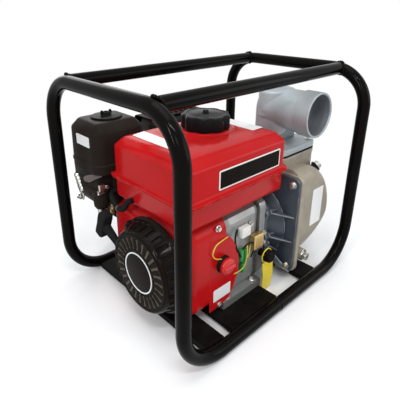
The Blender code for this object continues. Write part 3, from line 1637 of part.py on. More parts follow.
def make_suction():
    gasket_x = SUCTION_FACE_X + GAP
    flap_hole_r = FLAP_R - FLAP_LAP
    slab(
        "suction_gasket",
        rounded_rect(SUCTION_FLANGE, SUCTION_FLANGE, SUCTION_ROUND, 3),
        GASKET_T,
        (gasket_x + GASKET_T / 2, CRANK_Y, SUCTION_Z),
        ALONG_X,
        "rubber",
        holes=[circle(flap_hole_r)],
    )
    flap_x = SUCTION_FACE_X - GAP - FLAP_T / 2
    slab(
        "check_flap",
        [(u + FLAP_HINGE, v) for u, v in circle(FLAP_R, 24)],
        FLAP_T,
        (flap_x, CRANK_Y, SUCTION_Z + FLAP_HINGE),
        ALONG_X,
        "rubber",
    )
    flange_x = gasket_x + GASKET_T + GAP
    flange = slab(
        "suction_flange",
        rounded_rect(SUCTION_FLANGE, SUCTION_FLANGE, SUCTION_ROUND, 3),
        SUCTION_FLANGE_T,
        (flange_x + SUCTION_FLANGE_T / 2, CRANK_Y, SUCTION_Z),
        ALONG_X,
        "bare_aluminium",
    )
    stub = rod(
        "suction_stub",
        ELBOW_MOUTH_R,
        (flange_x, CRANK_Y, SUCTION_Z),
        (SUCTION_END_X, CRANK_Y, SUCTION_Z),
        ALONG_X,
    )
    bore = rod(
        "stub_bore", PORT_R, (flange_x - FAR_PAST, CRANK_Y, SUCTION_Z),
        (SUCTION_END_X + FAR_PAST, CRANK_Y, SUCTION_Z), ALONG_X,
    )
    join(flange, stub)
    carve(flange, bore)


clear_scene()
make_materials()
parts = make_collection("portable_fire_pump")
cutters = make_collection("cutters")
make_frame()
make_cross_plates()
make_crankcase()
make_cover()
make_crank_train()
make_piston()
make_head()
make_flywheel()
make_shroud()
make_recoil()
make_tank()
make_carburettor()
make_air_cleaner()
make_exhaust()
make_fittings()
make_pump_bracket()
make_pump_casing()
make_pump_inside()
make_discharge()
make_suction()
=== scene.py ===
import math

import bmesh
import bpy
import numpy as np
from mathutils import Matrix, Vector


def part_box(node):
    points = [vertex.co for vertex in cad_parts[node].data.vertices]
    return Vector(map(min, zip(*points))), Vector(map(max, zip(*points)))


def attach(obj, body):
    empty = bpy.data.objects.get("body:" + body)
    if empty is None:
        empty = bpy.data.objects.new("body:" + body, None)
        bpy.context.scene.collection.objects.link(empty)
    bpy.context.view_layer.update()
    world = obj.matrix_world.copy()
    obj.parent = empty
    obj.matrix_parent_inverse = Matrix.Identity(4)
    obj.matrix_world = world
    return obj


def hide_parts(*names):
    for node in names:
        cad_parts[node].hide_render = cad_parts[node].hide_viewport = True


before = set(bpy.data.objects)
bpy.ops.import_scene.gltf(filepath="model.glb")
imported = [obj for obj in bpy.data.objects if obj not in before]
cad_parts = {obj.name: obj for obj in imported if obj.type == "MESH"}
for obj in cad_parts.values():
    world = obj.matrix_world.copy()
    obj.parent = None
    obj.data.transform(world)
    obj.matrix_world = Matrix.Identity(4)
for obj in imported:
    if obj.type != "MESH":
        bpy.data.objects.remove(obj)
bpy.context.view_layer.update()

print("frame loaded,", len(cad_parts), "nodes")

# helpers for objects and shader nodes


def addObject(name, data):
    obj = bpy.data.objects.new(name, data)
    bpy.context.scene.collection.objects.link(obj)
    return obj


def aimed(name, data, spot, aim):
    # an object at the spot that looks at the aim
    obj = addObject(name, data)
    obj.location = spot
    obj.rotation_euler = (Vector(aim) - Vector(spot)).to_track_quat("-Z", "Y").to_euler()
    return obj


def fill(tree, socket, value):
    # a socket is linked; a number, a vector or a colour becomes the default
    if isinstance(value, bpy.types.NodeSocket):
        tree.links.new(value, socket)
    else:
        socket.default_value = (*value, 1.0) if socket.type == "RGBA" else value


def addNode(tree, kind, feeds=None, **settings):
    # feeds: input name or number to what fills it
    node = tree.nodes.new(kind)
    for label, value in settings.items():
        setattr(node, label, value)
    for label, value in (feeds or {}).items():
        fill(tree, node.inputs[label], value)
    return node


def combined(tree, operation, first, second):
    return addNode(tree, "ShaderNodeMath", {0: first, 1: second}, operation=operation).outputs[0]


# camera and light

view = dict(
    spot=(-0.563853, -0.532958, 0.567034),
    aim=(-0.151107, -0.088529, 0.332113),
    lens=36.309,
    shiftX=0.025,
    shiftY=-0.1,
)
camera = aimed("pumpCamera", bpy.data.cameras.new("pumpCamera"), view["spot"], view["aim"])
camera.data.sensor_width = 36.0
camera.data.lens = view["lens"]
camera.data.shift_x = view["shiftX"]
camera.data.shift_y = view["shiftY"]
bpy.context.scene.camera = camera
bpy.context.scene.view_settings.view_transform = "Standard"

lampAim = (0.0, 0.0, 0.2)
lamps = dict(
    key=dict(spot=(-1.4, -1.7, 1.6), size=(0.5, 0.5), power=5.0),
    side=dict(spot=(1.5, -1.8, 0.9), size=(1.4, 1.2), power=12.0),
    top=dict(spot=(-0.2, 0.0, 2.2), size=(1.4, 1.4), power=15.0),
    rear=dict(spot=(0.5, 1.9, 1.2), size=(1.4, 1.0), power=9.0),
    strip=dict(spot=(-1.9, -0.5, 1.2), size=(0.04, 0.9), power=13.0),
    ceiling=dict(spot=(-0.7, -1.0, 1.9), size=(0.9, 0.04), power=12.0),
)
for lampName, lamp in lamps.items():
    area = bpy.data.lights.new(lampName + "Lamp", "AREA")
    area.shape = "RECTANGLE"
    area.size, area.size_y = lamp["size"]
    area.energy = lamp["power"]
    aimed(lampName + "Lamp", area, lamp["spot"], lampAim)

# the world lights the pump softly, and shows white to the camera and in reflections
world = bpy.data.worlds.new("whiteStudio")
bpy.context.scene.world = world
world.use_nodes = True
sky = world.node_tree
skyLight = sky.nodes["Background"]
fill(sky, skyLight.inputs["Color"], (0.93, 0.96, 1.0))
fill(sky, skyLight.inputs["Strength"], 0.62)
skyWhite = addNode(sky, "ShaderNodeBackground", {"Color": (1.0, 1.0, 1.0), "Strength": 1.0})
rays = addNode(sky, "ShaderNodeLightPath").outputs
firstRay = combined(sky, "MAXIMUM", rays["Is Camera Ray"], rays["Is Glossy Ray"])
seenRay = combined(sky, "MAXIMUM", firstRay, rays["Is Transmission Ray"])
skyFeeds = {"Fac": seenRay, 1: skyLight.outputs[0], 2: skyWhite.outputs[0]}
skyMix = addNode(sky, "ShaderNodeMixShader", skyFeeds)
sky.links.new(skyMix.outputs[0], sky.nodes["World Output"].inputs["Surface"])
print("camera, lamps and world set")

# shared effects, each a node group


def newEffect(name, numbers, outs):
    # numbers: input name to default; outs: the names of the outputs
    effect = bpy.data.node_groups.new(name, "ShaderNodeTree")
    for label, value in numbers.items():
        socket = effect.interface.new_socket(label, in_out="INPUT", socket_type="NodeSocketFloat")
        socket.default_value = value
    for label in outs:
        effect.interface.new_socket(label, in_out="OUTPUT", socket_type="NodeSocketFloat")
    inside, outside = addNode(effect, "NodeGroupInput"), addNode(effect, "NodeGroupOutput")
    place = addNode(effect, "ShaderNodeTexCoord").outputs["Object"]
    return effect, inside.outputs, outside.inputs, place


def ramped(tree, source, low, high, start=0.0, end=1.0):
    feeds = {"Value": source, "From Min": low, "From Max": high, "To Min": start, "To Max": end}
    return addNode(tree, "ShaderNodeMapRange", feeds, clamp=True).outputs["Result"]


def noiseOf(tree, place, scale, detail, rough=0.55):
    feeds = {"Vector": place, "Scale": scale, "Detail": detail, "Roughness": rough}
    return addNode(tree, "ShaderNodeTexNoise", feeds).outputs["Fac"]


# sand-cast skin: broad mottling in Tone, grains with a few pits in Height
castSkin, castIn, castOut, castPlace = newEffect("castSkin", {"Scale": 120.0}, ("Tone", "Height"))
castSkin.links.new(noiseOf(castSkin, castPlace, 26.0, 5.0), castOut["Tone"])
castGrain = noiseOf(castSkin, castPlace, castIn["Scale"], 4.0, 0.7)
castPits = addNode(castSkin, "ShaderNodeTexVoronoi", {"Vector": castPlace, "Scale": castIn["Scale"]})
castSum = combined(castSkin, "ADD", castGrain, ramped(castSkin, castPits.outputs["Distance"], 0.0, 0.22))
castSkin.links.new(combined(castSkin, "MULTIPLY", castSum, 0.5), castOut["Height"])

# sprayed or moulded skin: faint cloudiness in Tone, orange peel or fine grain in Height
smoothSkin, smoothIn, smoothOut, smoothPlace = newEffect("smoothSkin", {"Scale": 300.0}, ("Tone", "Height"))
smoothSkin.links.new(noiseOf(smoothSkin, smoothPlace, 14.0, 4.0), smoothOut["Tone"])
smoothSkin.links.new(noiseOf(smoothSkin, smoothPlace, smoothIn["Scale"], 2.0), smoothOut["Height"])

# turned metal: fine rings across the Y axis
turnedSkin, turnedIn, turnedOut, turnedPlace = newEffect("turnedSkin", {"Scale": 500.0}, ("Tone", "Height"))
turnedFlat = addNode(turnedSkin, "ShaderNodeMapping", {"Vector": turnedPlace, "Scale": (0.05, 1.0, 0.05)})
turnedLines = noiseOf(turnedSkin, turnedFlat.outputs[0], turnedIn["Scale"], 6.0, 0.7)
turnedSkin.links.new(turnedLines, turnedOut["Height"])
turnedSkin.links.new(turnedLines, turnedOut["Tone"])

# worn edges: where the normal turns within a small radius, broken up by noise
edgeRub, rubIn, rubOut, rubPlace = newEffect("edgeRub", {"Radius": 0.0012, "Amount": 0.5}, ("Mask",))
rubSoft = addNode(edgeRub, "ShaderNodeBevel", {"Radius": rubIn["Radius"]}, samples=4).outputs["Normal"]
rubPlain = addNode(edgeRub, "ShaderNodeNewGeometry").outputs["Normal"]
rubDot = addNode(edgeRub, "ShaderNodeVectorMath", {0: rubSoft, 1: rubPlain}, operation="DOT_PRODUCT")
rubTurn = ramped(edgeRub, rubDot.outputs["Value"], 0.995, 0.86)
rubPatch = ramped(edgeRub, noiseOf(edgeRub, rubPlace, 70.0, 5.0), 0.4, 0.62)
rubWorn = combined(edgeRub, "MULTIPLY", rubTurn, rubPatch)
edgeRub.links.new(combined(edgeRub, "MULTIPLY", rubWorn, rubIn["Amount"]), rubOut["Mask"])

# dust on faces that look up
dustFall, dustIn, dustOut, dustPlace = newEffect("dustFall", {"Amount": 0.2}, ("Mask",))
dustNormal = addNode(dustFall, "ShaderNodeNewGeometry").outputs["Normal"]
dustSplit = addNode(dustFall, "ShaderNodeSeparateXYZ", {0: dustNormal})
dustUp = ramped(dustFall, dustSplit.outputs["Z"], 0.45, 1.0)
dustPatch = ramped(dustFall, noiseOf(dustFall, dustPlace, 38.0, 7.0, 0.65), 0.35, 0.75)
dustLain = combined(dustFall, "MULTIPLY", dustUp, dustPatch)
dustFall.links.new(combined(dustFall, "MULTIPLY", dustLain, dustIn["Amount"]), dustOut["Mask"])

skins = dict(cast=castSkin, smooth=smoothSkin, turned=turnedSkin)
toneSpan = (0.3, 0.7)
dustGrey = (0.36, 0.34, 0.31)


def mixedColour(tree, factor, first, second):
    return addNode(tree, "ShaderNodeMix", {0: factor, 6: first, 7: second}, data_type="RGBA").outputs[2]


def newFinish(name, colour, vary, rough, skin="smooth", scale=300.0, bump=0.05, metal=0.0, edge=None,
              rub=0.0, rubRadius=0.0012, dust=0.0, gloss=0.5, depth=0.0004):
    # colour drifts to vary with the skin's Tone, then worn edges, then dust; roughness drifts with Tone too
    finish = bpy.data.materials.new(name)
    finish.use_nodes = True
    tree = finish.node_tree
    surface = addNode(tree, "ShaderNodeGroup", {"Scale": scale}, node_tree=skins[skin]).outputs
    paint = mixedColour(tree, ramped(tree, surface["Tone"], *toneSpan), colour, vary)
    if rub:
        worn = addNode(tree, "ShaderNodeGroup", {"Amount": rub, "Radius": rubRadius}, node_tree=edgeRub)
        paint = mixedColour(tree, worn.outputs["Mask"], paint, edge)
    if dust:
        fall = addNode(tree, "ShaderNodeGroup", {"Amount": dust}, node_tree=dustFall)
        paint = mixedColour(tree, fall.outputs["Mask"], paint, dustGrey)
    reliefFeeds = {"Strength": bump, "Distance": depth, "Height": surface["Height"]}
    relief = addNode(tree, "ShaderNodeBump", reliefFeeds)
    looks = {
        "Base Color": paint,
        "Roughness": ramped(tree, surface["Tone"], *toneSpan, *rough),
        "Normal": relief.outputs["Normal"],
        "Metallic": metal,
        "Specular IOR Level": gloss,
    }
    for label, value in looks.items():
        fill(tree, tree.nodes["Principled BSDF"].inputs[label], value)
    return finish


frameBlack = newFinish(
    "frameBlack", (0.0022, 0.0017, 0.0016), (0.004, 0.0032, 0.0028), (0.1, 0.17),
    edge=(0.04, 0.04, 0.04), rub=0.3, dust=0.01, gloss=0.05)
tankRed = newFinish(
    "tankRed", (0.475, 0.008, 0.0095), (0.435, 0.007, 0.0082), (0.13, 0.2), scale=420.0,
    bump=0.03, edge=(0.78, 0.11, 0.09), rub=0.6, dust=0.02, gloss=0.11)
castSilver = newFinish(
    "castSilver", (0.425, 0.472, 0.49), (0.33, 0.365, 0.38), (0.46, 0.6), skin="cast",
    scale=420.0, bump=0.35, metal=0.35, edge=(0.72, 0.73, 0.73), rub=0.4, dust=0.04)
bandSilver = newFinish(
    "bandSilver", (0.4, 0.432, 0.447), (0.29, 0.313, 0.325), (0.4, 0.54), skin="turned",
    scale=1400.0, bump=0.3, metal=0.45, edge=(0.85, 0.86, 0.86), rub=0.8, rubRadius=0.001)
# a darker copy of castSilver for the insides of the bores: painted shade
borePaintedShade = newFinish(
    "borePaintedShade", (0.23, 0.245, 0.265), (0.16, 0.172, 0.19), (0.4, 0.6), skin="cast",
    scale=260.0, bump=0.3, metal=0.5)
casingBeige = newFinish(
    "casingBeige", (0.342, 0.303, 0.238), (0.27, 0.24, 0.188), (0.42, 0.58), skin="cast",
    scale=330.0, bump=0.22, metal=0.25, edge=(0.62, 0.6, 0.55), rub=0.9, rubRadius=0.0016, dust=0.06)
bracketSlate = newFinish(
    "bracketSlate", (0.062, 0.078, 0.098), (0.043, 0.054, 0.07), (0.38, 0.55), skin="cast",
    bump=0.2, metal=0.35, edge=(0.46, 0.49, 0.52), rub=1.0, rubRadius=0.0018, dust=0.1)
# a lighter copy of bracketSlate for the ribs: painted highlight along the ribs, and the edge mask lightens
# their edges further
ribPaintedHighlight = newFinish(
    "ribPaintedHighlight", (0.17, 0.195, 0.225), (0.12, 0.14, 0.165), (0.36, 0.5), skin="cast",
    bump=0.2, metal=0.4, edge=(0.56, 0.6, 0.63), rub=1.0, rubRadius=0.0018)
engineGrey = newFinish(
    "engineGrey", (0.34, 0.345, 0.34), (0.25, 0.255, 0.25), (0.38, 0.55), skin="cast", scale=360.0,
    bump=0.28, metal=0.7, edge=(0.6, 0.6, 0.6), rub=0.45, dust=0.12)
mouldedBlack = newFinish(
    "mouldedBlack", (0.0046, 0.0043, 0.0041), (0.0075, 0.007, 0.0066), (0.36, 0.5),
    scale=1100.0, bump=0.22, edge=(0.07, 0.07, 0.07), rub=0.4, dust=0.03, gloss=0.04)
cleanerBlack = newFinish(
    "cleanerBlack", (0.0145, 0.0104, 0.0085), (0.0195, 0.0143, 0.0119), (0.36, 0.5),
    scale=1100.0, bump=0.22, edge=(0.07, 0.06, 0.055), rub=0.4, dust=0.03, gloss=0.04)
drumBlack = newFinish(
    "drumBlack", (0.005, 0.0037, 0.0027), (0.0085, 0.0064, 0.0046), (0.1, 0.18),
    scale=800.0, edge=(0.1, 0.09, 0.085), rub=0.45, dust=0.02, gloss=0.06)
glossBlack = newFinish(
    "glossBlack", (0.0055, 0.006, 0.0065), (0.01, 0.0105, 0.011), (0.18, 0.3),
    scale=500.0, edge=(0.08, 0.08, 0.08), rub=0.3, dust=0.03, gloss=0.06)
rubberBlack = newFinish(
    "rubberBlack", (0.009, 0.009, 0.0095), (0.015, 0.015, 0.0155), (0.62, 0.8), scale=900.0,
    bump=0.18, edge=(0.06, 0.06, 0.06), rub=0.3, dust=0.04, gloss=0.04)
zincSteel = newFinish(
    "zincSteel", (0.6, 0.6, 0.57), (0.44, 0.43, 0.4), (0.22, 0.38), skin="cast", scale=700.0,
    bump=0.08, metal=1.0, edge=(0.85, 0.85, 0.85), rub=0.5)
baseBlack = newFinish(
    "baseBlack", (0.0036, 0.003, 0.0028), (0.006, 0.005, 0.0046), (0.3, 0.5),
    scale=420.0, bump=0.1, edge=(0.06, 0.06, 0.06), rub=0.4, dust=0.02, gloss=0.02)
# slot floors: the olive of what shows through the drum's slots, made lighter as painted light to lift the
# shade in the slots
slotOliveAndPaintedLight = newFinish(
    "slotOliveAndPaintedLight", (0.13, 0.115, 0.082), (0.075, 0.066, 0.046), (0.4, 0.55), scale=500.0, gloss=0.05)
drumFace = newFinish(
    "drumFace", (0.0042, 0.0031, 0.0022), (0.007, 0.0052, 0.0037), (0.3, 0.45), scale=700.0,
    bump=0.08, edge=(0.03, 0.024, 0.018), rub=0.4, gloss=0.03)
leverBrown = newFinish(
    "leverBrown", (0.125, 0.1, 0.098), (0.095, 0.075, 0.072), (0.4, 0.55), scale=900.0,
    bump=0.12, edge=(0.22, 0.19, 0.18), rub=0.4, gloss=0.2)
yellowZinc = newFinish(
    "yellowZinc", (0.62, 0.45, 0.19), (0.5, 0.35, 0.14), (0.28, 0.45), skin="cast", scale=500.0,
    bump=0.08, metal=0.85, edge=(0.75, 0.62, 0.35), rub=0.4)
groundSteel = newFinish(
    "groundSteel", (0.52, 0.52, 0.52), (0.38, 0.38, 0.38), (0.25, 0.42), skin="cast", scale=600.0,
    bump=0.06, metal=1.0, edge=(0.75, 0.75, 0.75), rub=0.4)
castIron = newFinish(
    "castIron", (0.13, 0.13, 0.13), (0.08, 0.075, 0.07), (0.45, 0.65), skin="cast", bump=0.3,
    metal=0.8, edge=(0.35, 0.34, 0.33), rub=0.4, dust=0.1)
hotIron = newFinish(
    "hotIron", (0.012, 0.011, 0.01), (0.024, 0.018, 0.014), (0.45, 0.65), skin="cast",
    scale=350.0, bump=0.2, metal=0.6, edge=(0.25, 0.22, 0.2), rub=0.35, dust=0.08)
knobRed = newFinish(
    "knobRed", (0.58, 0.01, 0.01), (0.5, 0.009, 0.009), (0.26, 0.36), scale=700.0,
    edge=(0.7, 0.1, 0.08), rub=0.4)
whitePlastic = newFinish(
    "whitePlastic", (0.74, 0.74, 0.71), (0.66, 0.66, 0.63), (0.38, 0.5), scale=900.0,
    bump=0.08, edge=(0.85, 0.85, 0.83), rub=0.2, dust=0.06)
paperWhite = newFinish(
    "paperWhite", (0.8, 0.8, 0.79), (0.74, 0.74, 0.73), (0.4, 0.55), scale=1200.0)
plateBlack = newFinish(
    "plateBlack", (0.005, 0.0034, 0.0025), (0.0085, 0.0058, 0.0042), (0.24, 0.34),
    scale=600.0, bump=0.03, gloss=0.03)
tagYellow = newFinish(
    "tagYellow", (0.86, 0.68, 0.03), (0.78, 0.6, 0.03), (0.4, 0.52), scale=900.0)
wireYellow = newFinish(
    "wireYellow", (0.72, 0.52, 0.03), (0.62, 0.44, 0.03), (0.34, 0.46), scale=900.0)
wireGreen = newFinish(
    "wireGreen", (0.02, 0.27, 0.06), (0.014, 0.2, 0.045), (0.36, 0.5), scale=900.0, bump=0.06)
filterFoam = newFinish(
    "filterFoam", (0.06, 0.06, 0.055), (0.035, 0.035, 0.03), (0.8, 0.95), skin="cast", scale=500.0,
    bump=0.8, depth=0.001)
floorPale = newFinish(
    "floorPale", (0.9, 0.9, 0.9), (0.88, 0.88, 0.88), (0.75, 0.85), scale=200.0, bump=0.01)

# shapes: every surface is a grid of points, rings by columns

turns = dict(  # rows are the directions of a shape's own u, v and w
    up=np.array([[1.0, 0, 0], [0, 1, 0], [0, 0, 1]]),
    right=np.array([[0.0, 1, 0], [0, 0, 1], [1, 0, 0]]),
    left=np.array([[0.0, -1, 0], [0, 0, 1], [-1, 0, 0]]),
    front=np.array([[1.0, 0, 0], [0, 0, 1], [0, -1, 0]]),
    rear=np.array([[-1.0, 0, 0], [0, 0, 1], [0, 1, 0]]),
)


def turnTo(axis):
    # three directions with w along axis
    w = np.asarray(axis, float) / np.linalg.norm(axis)
    spare = np.array([0.0, 0, 1]) if abs(w[2]) < 0.9 else np.array([1.0, 0, 0])
    u = np.cross(spare, w)
    u /= np.linalg.norm(u)
    return np.array([u, np.cross(w, u), w])


def put(shell, spot, turn="up"):
    points, faces = shell
    rows = turns[turn] if isinstance(turn, str) else turn
    return points @ rows + np.asarray(spot, float), faces


def skin(rings, around=False):
    # quads between neighbouring rings; flat ends, or around to join the last ring to the first
    rings = np.asarray(rings, float)
    rows, cols = rings.shape[:2]
    i, j = np.meshgrid(np.arange(rows if around else rows - 1), np.arange(cols), indexing="ij")
    above, beside = (i + 1) % rows, (j + 1) % cols
    quads = np.stack([i * cols + j, i * cols + beside, above * cols + beside, above * cols + j], -1)
    faces = quads.reshape(-1, 4).tolist()
    if not around:
        faces += [list(range(cols))[::-1], list(range((rows - 1) * cols, rows * cols))]
    return rings.reshape(-1, 3), faces


def fullTurn(sides):
    return np.linspace(0, 2 * math.pi, sides, endpoint=False)


def roundSection(radius, sides=12):
    # a circle, or a wavy one where radius holds a value for each side
    return np.column_stack([radius * np.cos(fullTurn(sides)), radius * np.sin(fullTurn(sides))])


def levelRing(flat, w):
    # a flat ring at one height
    return np.column_stack([flat, np.full(len(flat), w)])


def roundedRing(halfU, halfV, corner, steps=6):
    # four quarter circles about the inset corners, anticlockwise
    angle = np.linspace(0, math.pi / 2, steps + 1)[None, :] + np.arange(4)[:, None] * math.pi / 2
    signs = np.array([[1, 1], [-1, 1], [-1, -1], [1, -1]])
    u = signs[:, :1] * (halfU - corner) + corner * np.cos(angle)
    v = signs[:, 1:] * (halfV - corner) + corner * np.sin(angle)
    return np.stack([u.ravel(), v.ravel()], -1)


def eased(low, high, edge, steps=3):
    # inset and height pairs: a quarter circle at each end
    angle = np.linspace(0, math.pi / 2, steps + 1)
    lower = np.column_stack([edge * (1 - np.sin(angle)), low + edge * (1 - np.cos(angle))])
    upper = np.column_stack([edge * (1 - np.cos(angle)), high - edge * (1 - np.sin(angle))])
    return np.vstack([lower, upper]).tolist()


def stacked(halfU, halfV, corner, levels, steps=6, least=0.0004):
    # rounded rectangles, each inset from the first and lifted to its height
    return skin([
        levelRing(roundedRing(halfU - inset, halfV - inset, max(corner - inset, least), steps), w)
        for inset, w in levels
    ])


def block(size, edge, corner=None, steps=3):
    # a box with rounded edges, standing on w = 0
    corner = edge if corner is None else corner
    return stacked(size[0] / 2, size[1] / 2, corner, eased(0, size[2], edge, steps), max(steps, 2))


def softened(profile, radius, steps=3):
    # each inner corner of a profile becomes a short curve
    profile = np.asarray(profile, float)
    out = [profile[:1]]
    t = np.linspace(0, 1, steps + 1)[:, None]
    for before, corner, after in zip(profile[:-2], profile[1:-1], profile[2:]):
        first, last = before - corner, after - corner
        a = corner + first * min(0.45, radius / max(np.linalg.norm(first), 1e-9))
        b = corner + last * min(0.45, radius / max(np.linalg.norm(last), 1e-9))
        out.append((1 - t) ** 2 * a + 2 * t * (1 - t) * corner + t ** 2 * b)
    return np.vstack([*out, profile[-1:]])


def lathe(profile, sides=64, around=False):
    # radius and height pairs turned about w
    profile = np.asarray(profile, float)
    angle = fullTurn(sides)
    radius = profile[:, :1]
    height = np.repeat(profile[:, 1:2], sides, 1)
    return skin(np.stack([radius * np.cos(angle), radius * np.sin(angle), height], -1), around)


def spun(profile, radius, sides, spot, turn="up", around=False):
    # a softened profile, turned and set in its place
    return put(lathe(softened(profile, radius), sides, around), spot, turn)


def bent(corners, radii, steps=10):
    # straight runs joined by arcs: at each corner, the arc touches both runs
    corners = np.asarray(corners, float)
    out = [corners[:1]]
    for before, corner, after, radius in zip(corners[:-2], corners[1:-1], corners[2:], radii):
        first = (before - corner) / np.linalg.norm(before - corner)
        last = (after - corner) / np.linalg.norm(after - corner)
        half = math.acos(np.clip(first @ last, -1, 1)) / 2
        middle = corner + (first + last) / np.linalg.norm(first + last) * radius / math.sin(half)
        start = corner + first * radius / math.tan(half) - middle
        end = corner + last * radius / math.tan(half) - middle
        swing = math.pi - 2 * half
        t = np.linspace(0, 1, steps + 1)[:, None]
        out.append(middle + (np.sin((1 - t) * swing) * start + np.sin(t * swing) * end) / math.sin(swing))
    return np.vstack([*out, corners[-1:]])


def flowing(points, per=8):
    # a curve through the points: each stretch is a cubic with slopes from its neighbours
    points = np.asarray(points, float)
    padded = np.vstack([2 * points[0] - points[1], points, 2 * points[-1] - points[-2]])
    t = np.linspace(0, 1, per, endpoint=False)[:, None]
    out = []
    for a, b, c, d in zip(padded[:-3], padded[1:-2], padded[2:-1], padded[3:]):
        square, cube = 2 * a - 5 * b + 4 * c - d, 3 * b - a - 3 * c + d
        out.append(0.5 * (2 * b + (c - a) * t + square * t ** 2 + cube * t ** 3))
    return np.vstack([*out, points[-1:]])


def swept(path, section, around=False):
    # a flat section carried along a path, turning as little as it can
    path = np.asarray(path, float)
    if around:
        tangent = np.roll(path, -1, 0) - np.roll(path, 1, 0)
    else:
        tangent = np.gradient(path, axis=0)
    tangent /= np.linalg.norm(tangent, axis=1)[:, None]
    spare = np.array([0.0, 0, 1]) if abs(tangent[0, 2]) < 0.9 else np.array([1.0, 0, 0])
    side = np.cross(tangent[0], spare)
    sides = []
    for along in tangent:
        side = side - along * (side @ along)
        side = side / np.linalg.norm(side)
        sides.append(side)
    sides = np.array(sides)
    lifts = np.cross(sides, tangent)
    section = np.asarray(section, float)
    if section.ndim == 2:
        section = np.repeat(section[None], len(path), 0)
    rings = path[:, None] + section[..., :1] * sides[:, None] + section[..., 1:] * lifts[:, None]
    return skin(rings, around)


def bolt(spot, axis, size=0.01, washer=True):
    # a hexagon head on a washer; size is across the flats
    sides = 36
    hexagon = size / 2 / np.cos((fullTurn(sides) + math.pi / 6) % (math.pi / 3) - math.pi / 6)
    rim = size * (0.78 if washer else 0.575)
    rows = [(rim * 0.96, 0.0), (rim, size * 0.03), (rim, size * 0.1), (rim * 0.96, size * 0.13)]
    rows += [(hexagon, size * 0.13), (hexagon, size * 0.6)]
    rows += [(np.minimum(hexagon, size * 0.525), size * 0.67)]
    rows += [(size * 0.44, size * 0.7), (size * 0.2, size * 0.69)]
    return put(skin([levelRing(roundSection(r, sides), h) for r, h in rows]), spot, turnTo(axis))


def extruded(outline, thickness):
    # a flat outline between w = 0 and its thickness
    return skin([levelRing(outline, w) for w in (0.0, thickness)])


def meshOf(name, shells):
    # the shells in one mesh, normals outwards
    points = np.vstack([s[0] for s in shells])
    starts = np.cumsum([0] + [len(s[0]) for s in shells[:-1]])
    faces = [[k + int(start) for k in face] for s, start in zip(shells, starts) for face in s[1]]
    mesh = bpy.data.meshes.new(name)
    mesh.from_pydata(points.tolist(), [], faces)
    work = bmesh.new()
    work.from_mesh(mesh)
    bmesh.ops.dissolve_degenerate(work, dist=1e-6, edges=work.edges)
    bmesh.ops.recalc_face_normals(work, faces=work.faces)
    work.to_mesh(mesh)
    work.free()
    return mesh


def smoothed(mesh, crease):
    # smooth shading up to the crease angle
    mesh.shade_smooth()
    mesh.set_sharp_from_angle(angle=math.radians(crease))


def makePiece(name, shells, finish, body="base", stands="", crease=38.0, bevel=0.0):
    # stands: the names of the solids it stands for
    mesh = meshOf(name, shells)
    smoothed(mesh, crease)
    mesh.materials.append(finish)
    obj = addObject(name, mesh)
    if bevel:
        soft = obj.modifiers.new("softEdges", "BEVEL")
        soft.width = bevel
        soft.segments = 2
        soft.limit_method = "ANGLE"
        soft.angle_limit = math.radians(35)
        soft.harden_normals = False
    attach(obj, body)
    if stands:
        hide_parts(*stands.split())
    return obj


def blankPlate(name, length, height, corner, thick, spot, turn="front", finish=paperWhite):
    shell = extruded(roundedRing(length / 2, height / 2, corner, 4), thick)
    makePiece(name, [put(shell, spot, turn)], finish)


# the crankshaft's line, and the middle of the pump's neck and elbow
shaftY, shaftZ, neckX = -0.0375, 0.124, 0.14
fourCorners = [(a, b) for a in (-1, 1) for b in (-1, 1)]

# tube frame

tube = dict(radius=0.0125, halfLength=0.25, halfWidth=0.181, low=0.0125, high=0.4425, railY=0.121,
            railRadius=0.0125 * 0.985, bends=(0.088, 0.076, 0.076, 0.088))
for hoopName, side in (("left_hoop", -1), ("right_hoop", 1)):
    endX, startX, halfW = side * tube["halfLength"], side * 0.0002, tube["halfWidth"]
    hoop = bent(
        [
            (startX, -halfW, tube["low"]),
            (endX, -halfW, tube["low"]),
            (endX, -halfW, tube["high"]),
            (endX, halfW, tube["high"]),
            (endX, halfW, tube["low"]),
            (startX, halfW, tube["low"]),
        ],
        tube["bends"],
        16,
    )
    hoopShell = swept(hoop, roundSection(tube["radius"], 40))
    makePiece(hoopName.replace("_", "") + "Tube", [hoopShell], frameBlack, stands=hoopName)
railX = tube["halfLength"] - tube["radius"] * 0.8
for railName, railY in (("top_rail_front", -tube["railY"]), ("top_rail_rear", tube["railY"])):
    ends = np.linspace((-railX, railY, tube["high"]), (railX, railY, tube["high"]), 3)
    railShell = swept(ends, roundSection(tube["railRadius"], 40))
    makePiece(railName.replace("_", "") + "Tube", [railShell], frameBlack, stands=railName)

# weld beads: a rippled ring round each rail end, pressed into the hoop
weld = dict(ripple=0.22, waves=22, bead=0.0028, sides=132)
weldRing = roundSection(tube["railRadius"], weld["sides"])
dip = tube["halfLength"] - np.sqrt(tube["radius"] ** 2 - weldRing[:, 1] ** 2 * 0.9)
swell = weld["bead"] * (1 + weld["ripple"] * np.sin(weld["waves"] * fullTurn(weld["sides"])))
weldSection = roundSection(1.0, 10)[None] * swell[:, None, None]
welds = []
for side in (-1, 1):
    for railY in (-tube["railY"], tube["railY"]):
        weldPath = np.column_stack([side * dip, weldRing + (railY, tube["high"])])
        welds.append(swept(weldPath, weldSection, around=True))
makePiece("railWelds", welds, frameBlack)

# butt joints of the two hoops under the engine, with a welded sleeve line
seamProfile = [(0.0118, -0.004), (0.0131, -0.0022), (0.0133, 0.0), (0.0131, 0.0022), (0.0118, 0.004)]
seams = [spun(seamProfile, 0.001, 40, (0.0, side * tube["halfWidth"], tube["low"]), "right")
         for side in (-1, 1)]
makePiece("railSeams", seams, frameBlack)
print("tube frame done")

# fuel tank: insets and heights of one pressed wall, with a rolled seam and a chamfered top

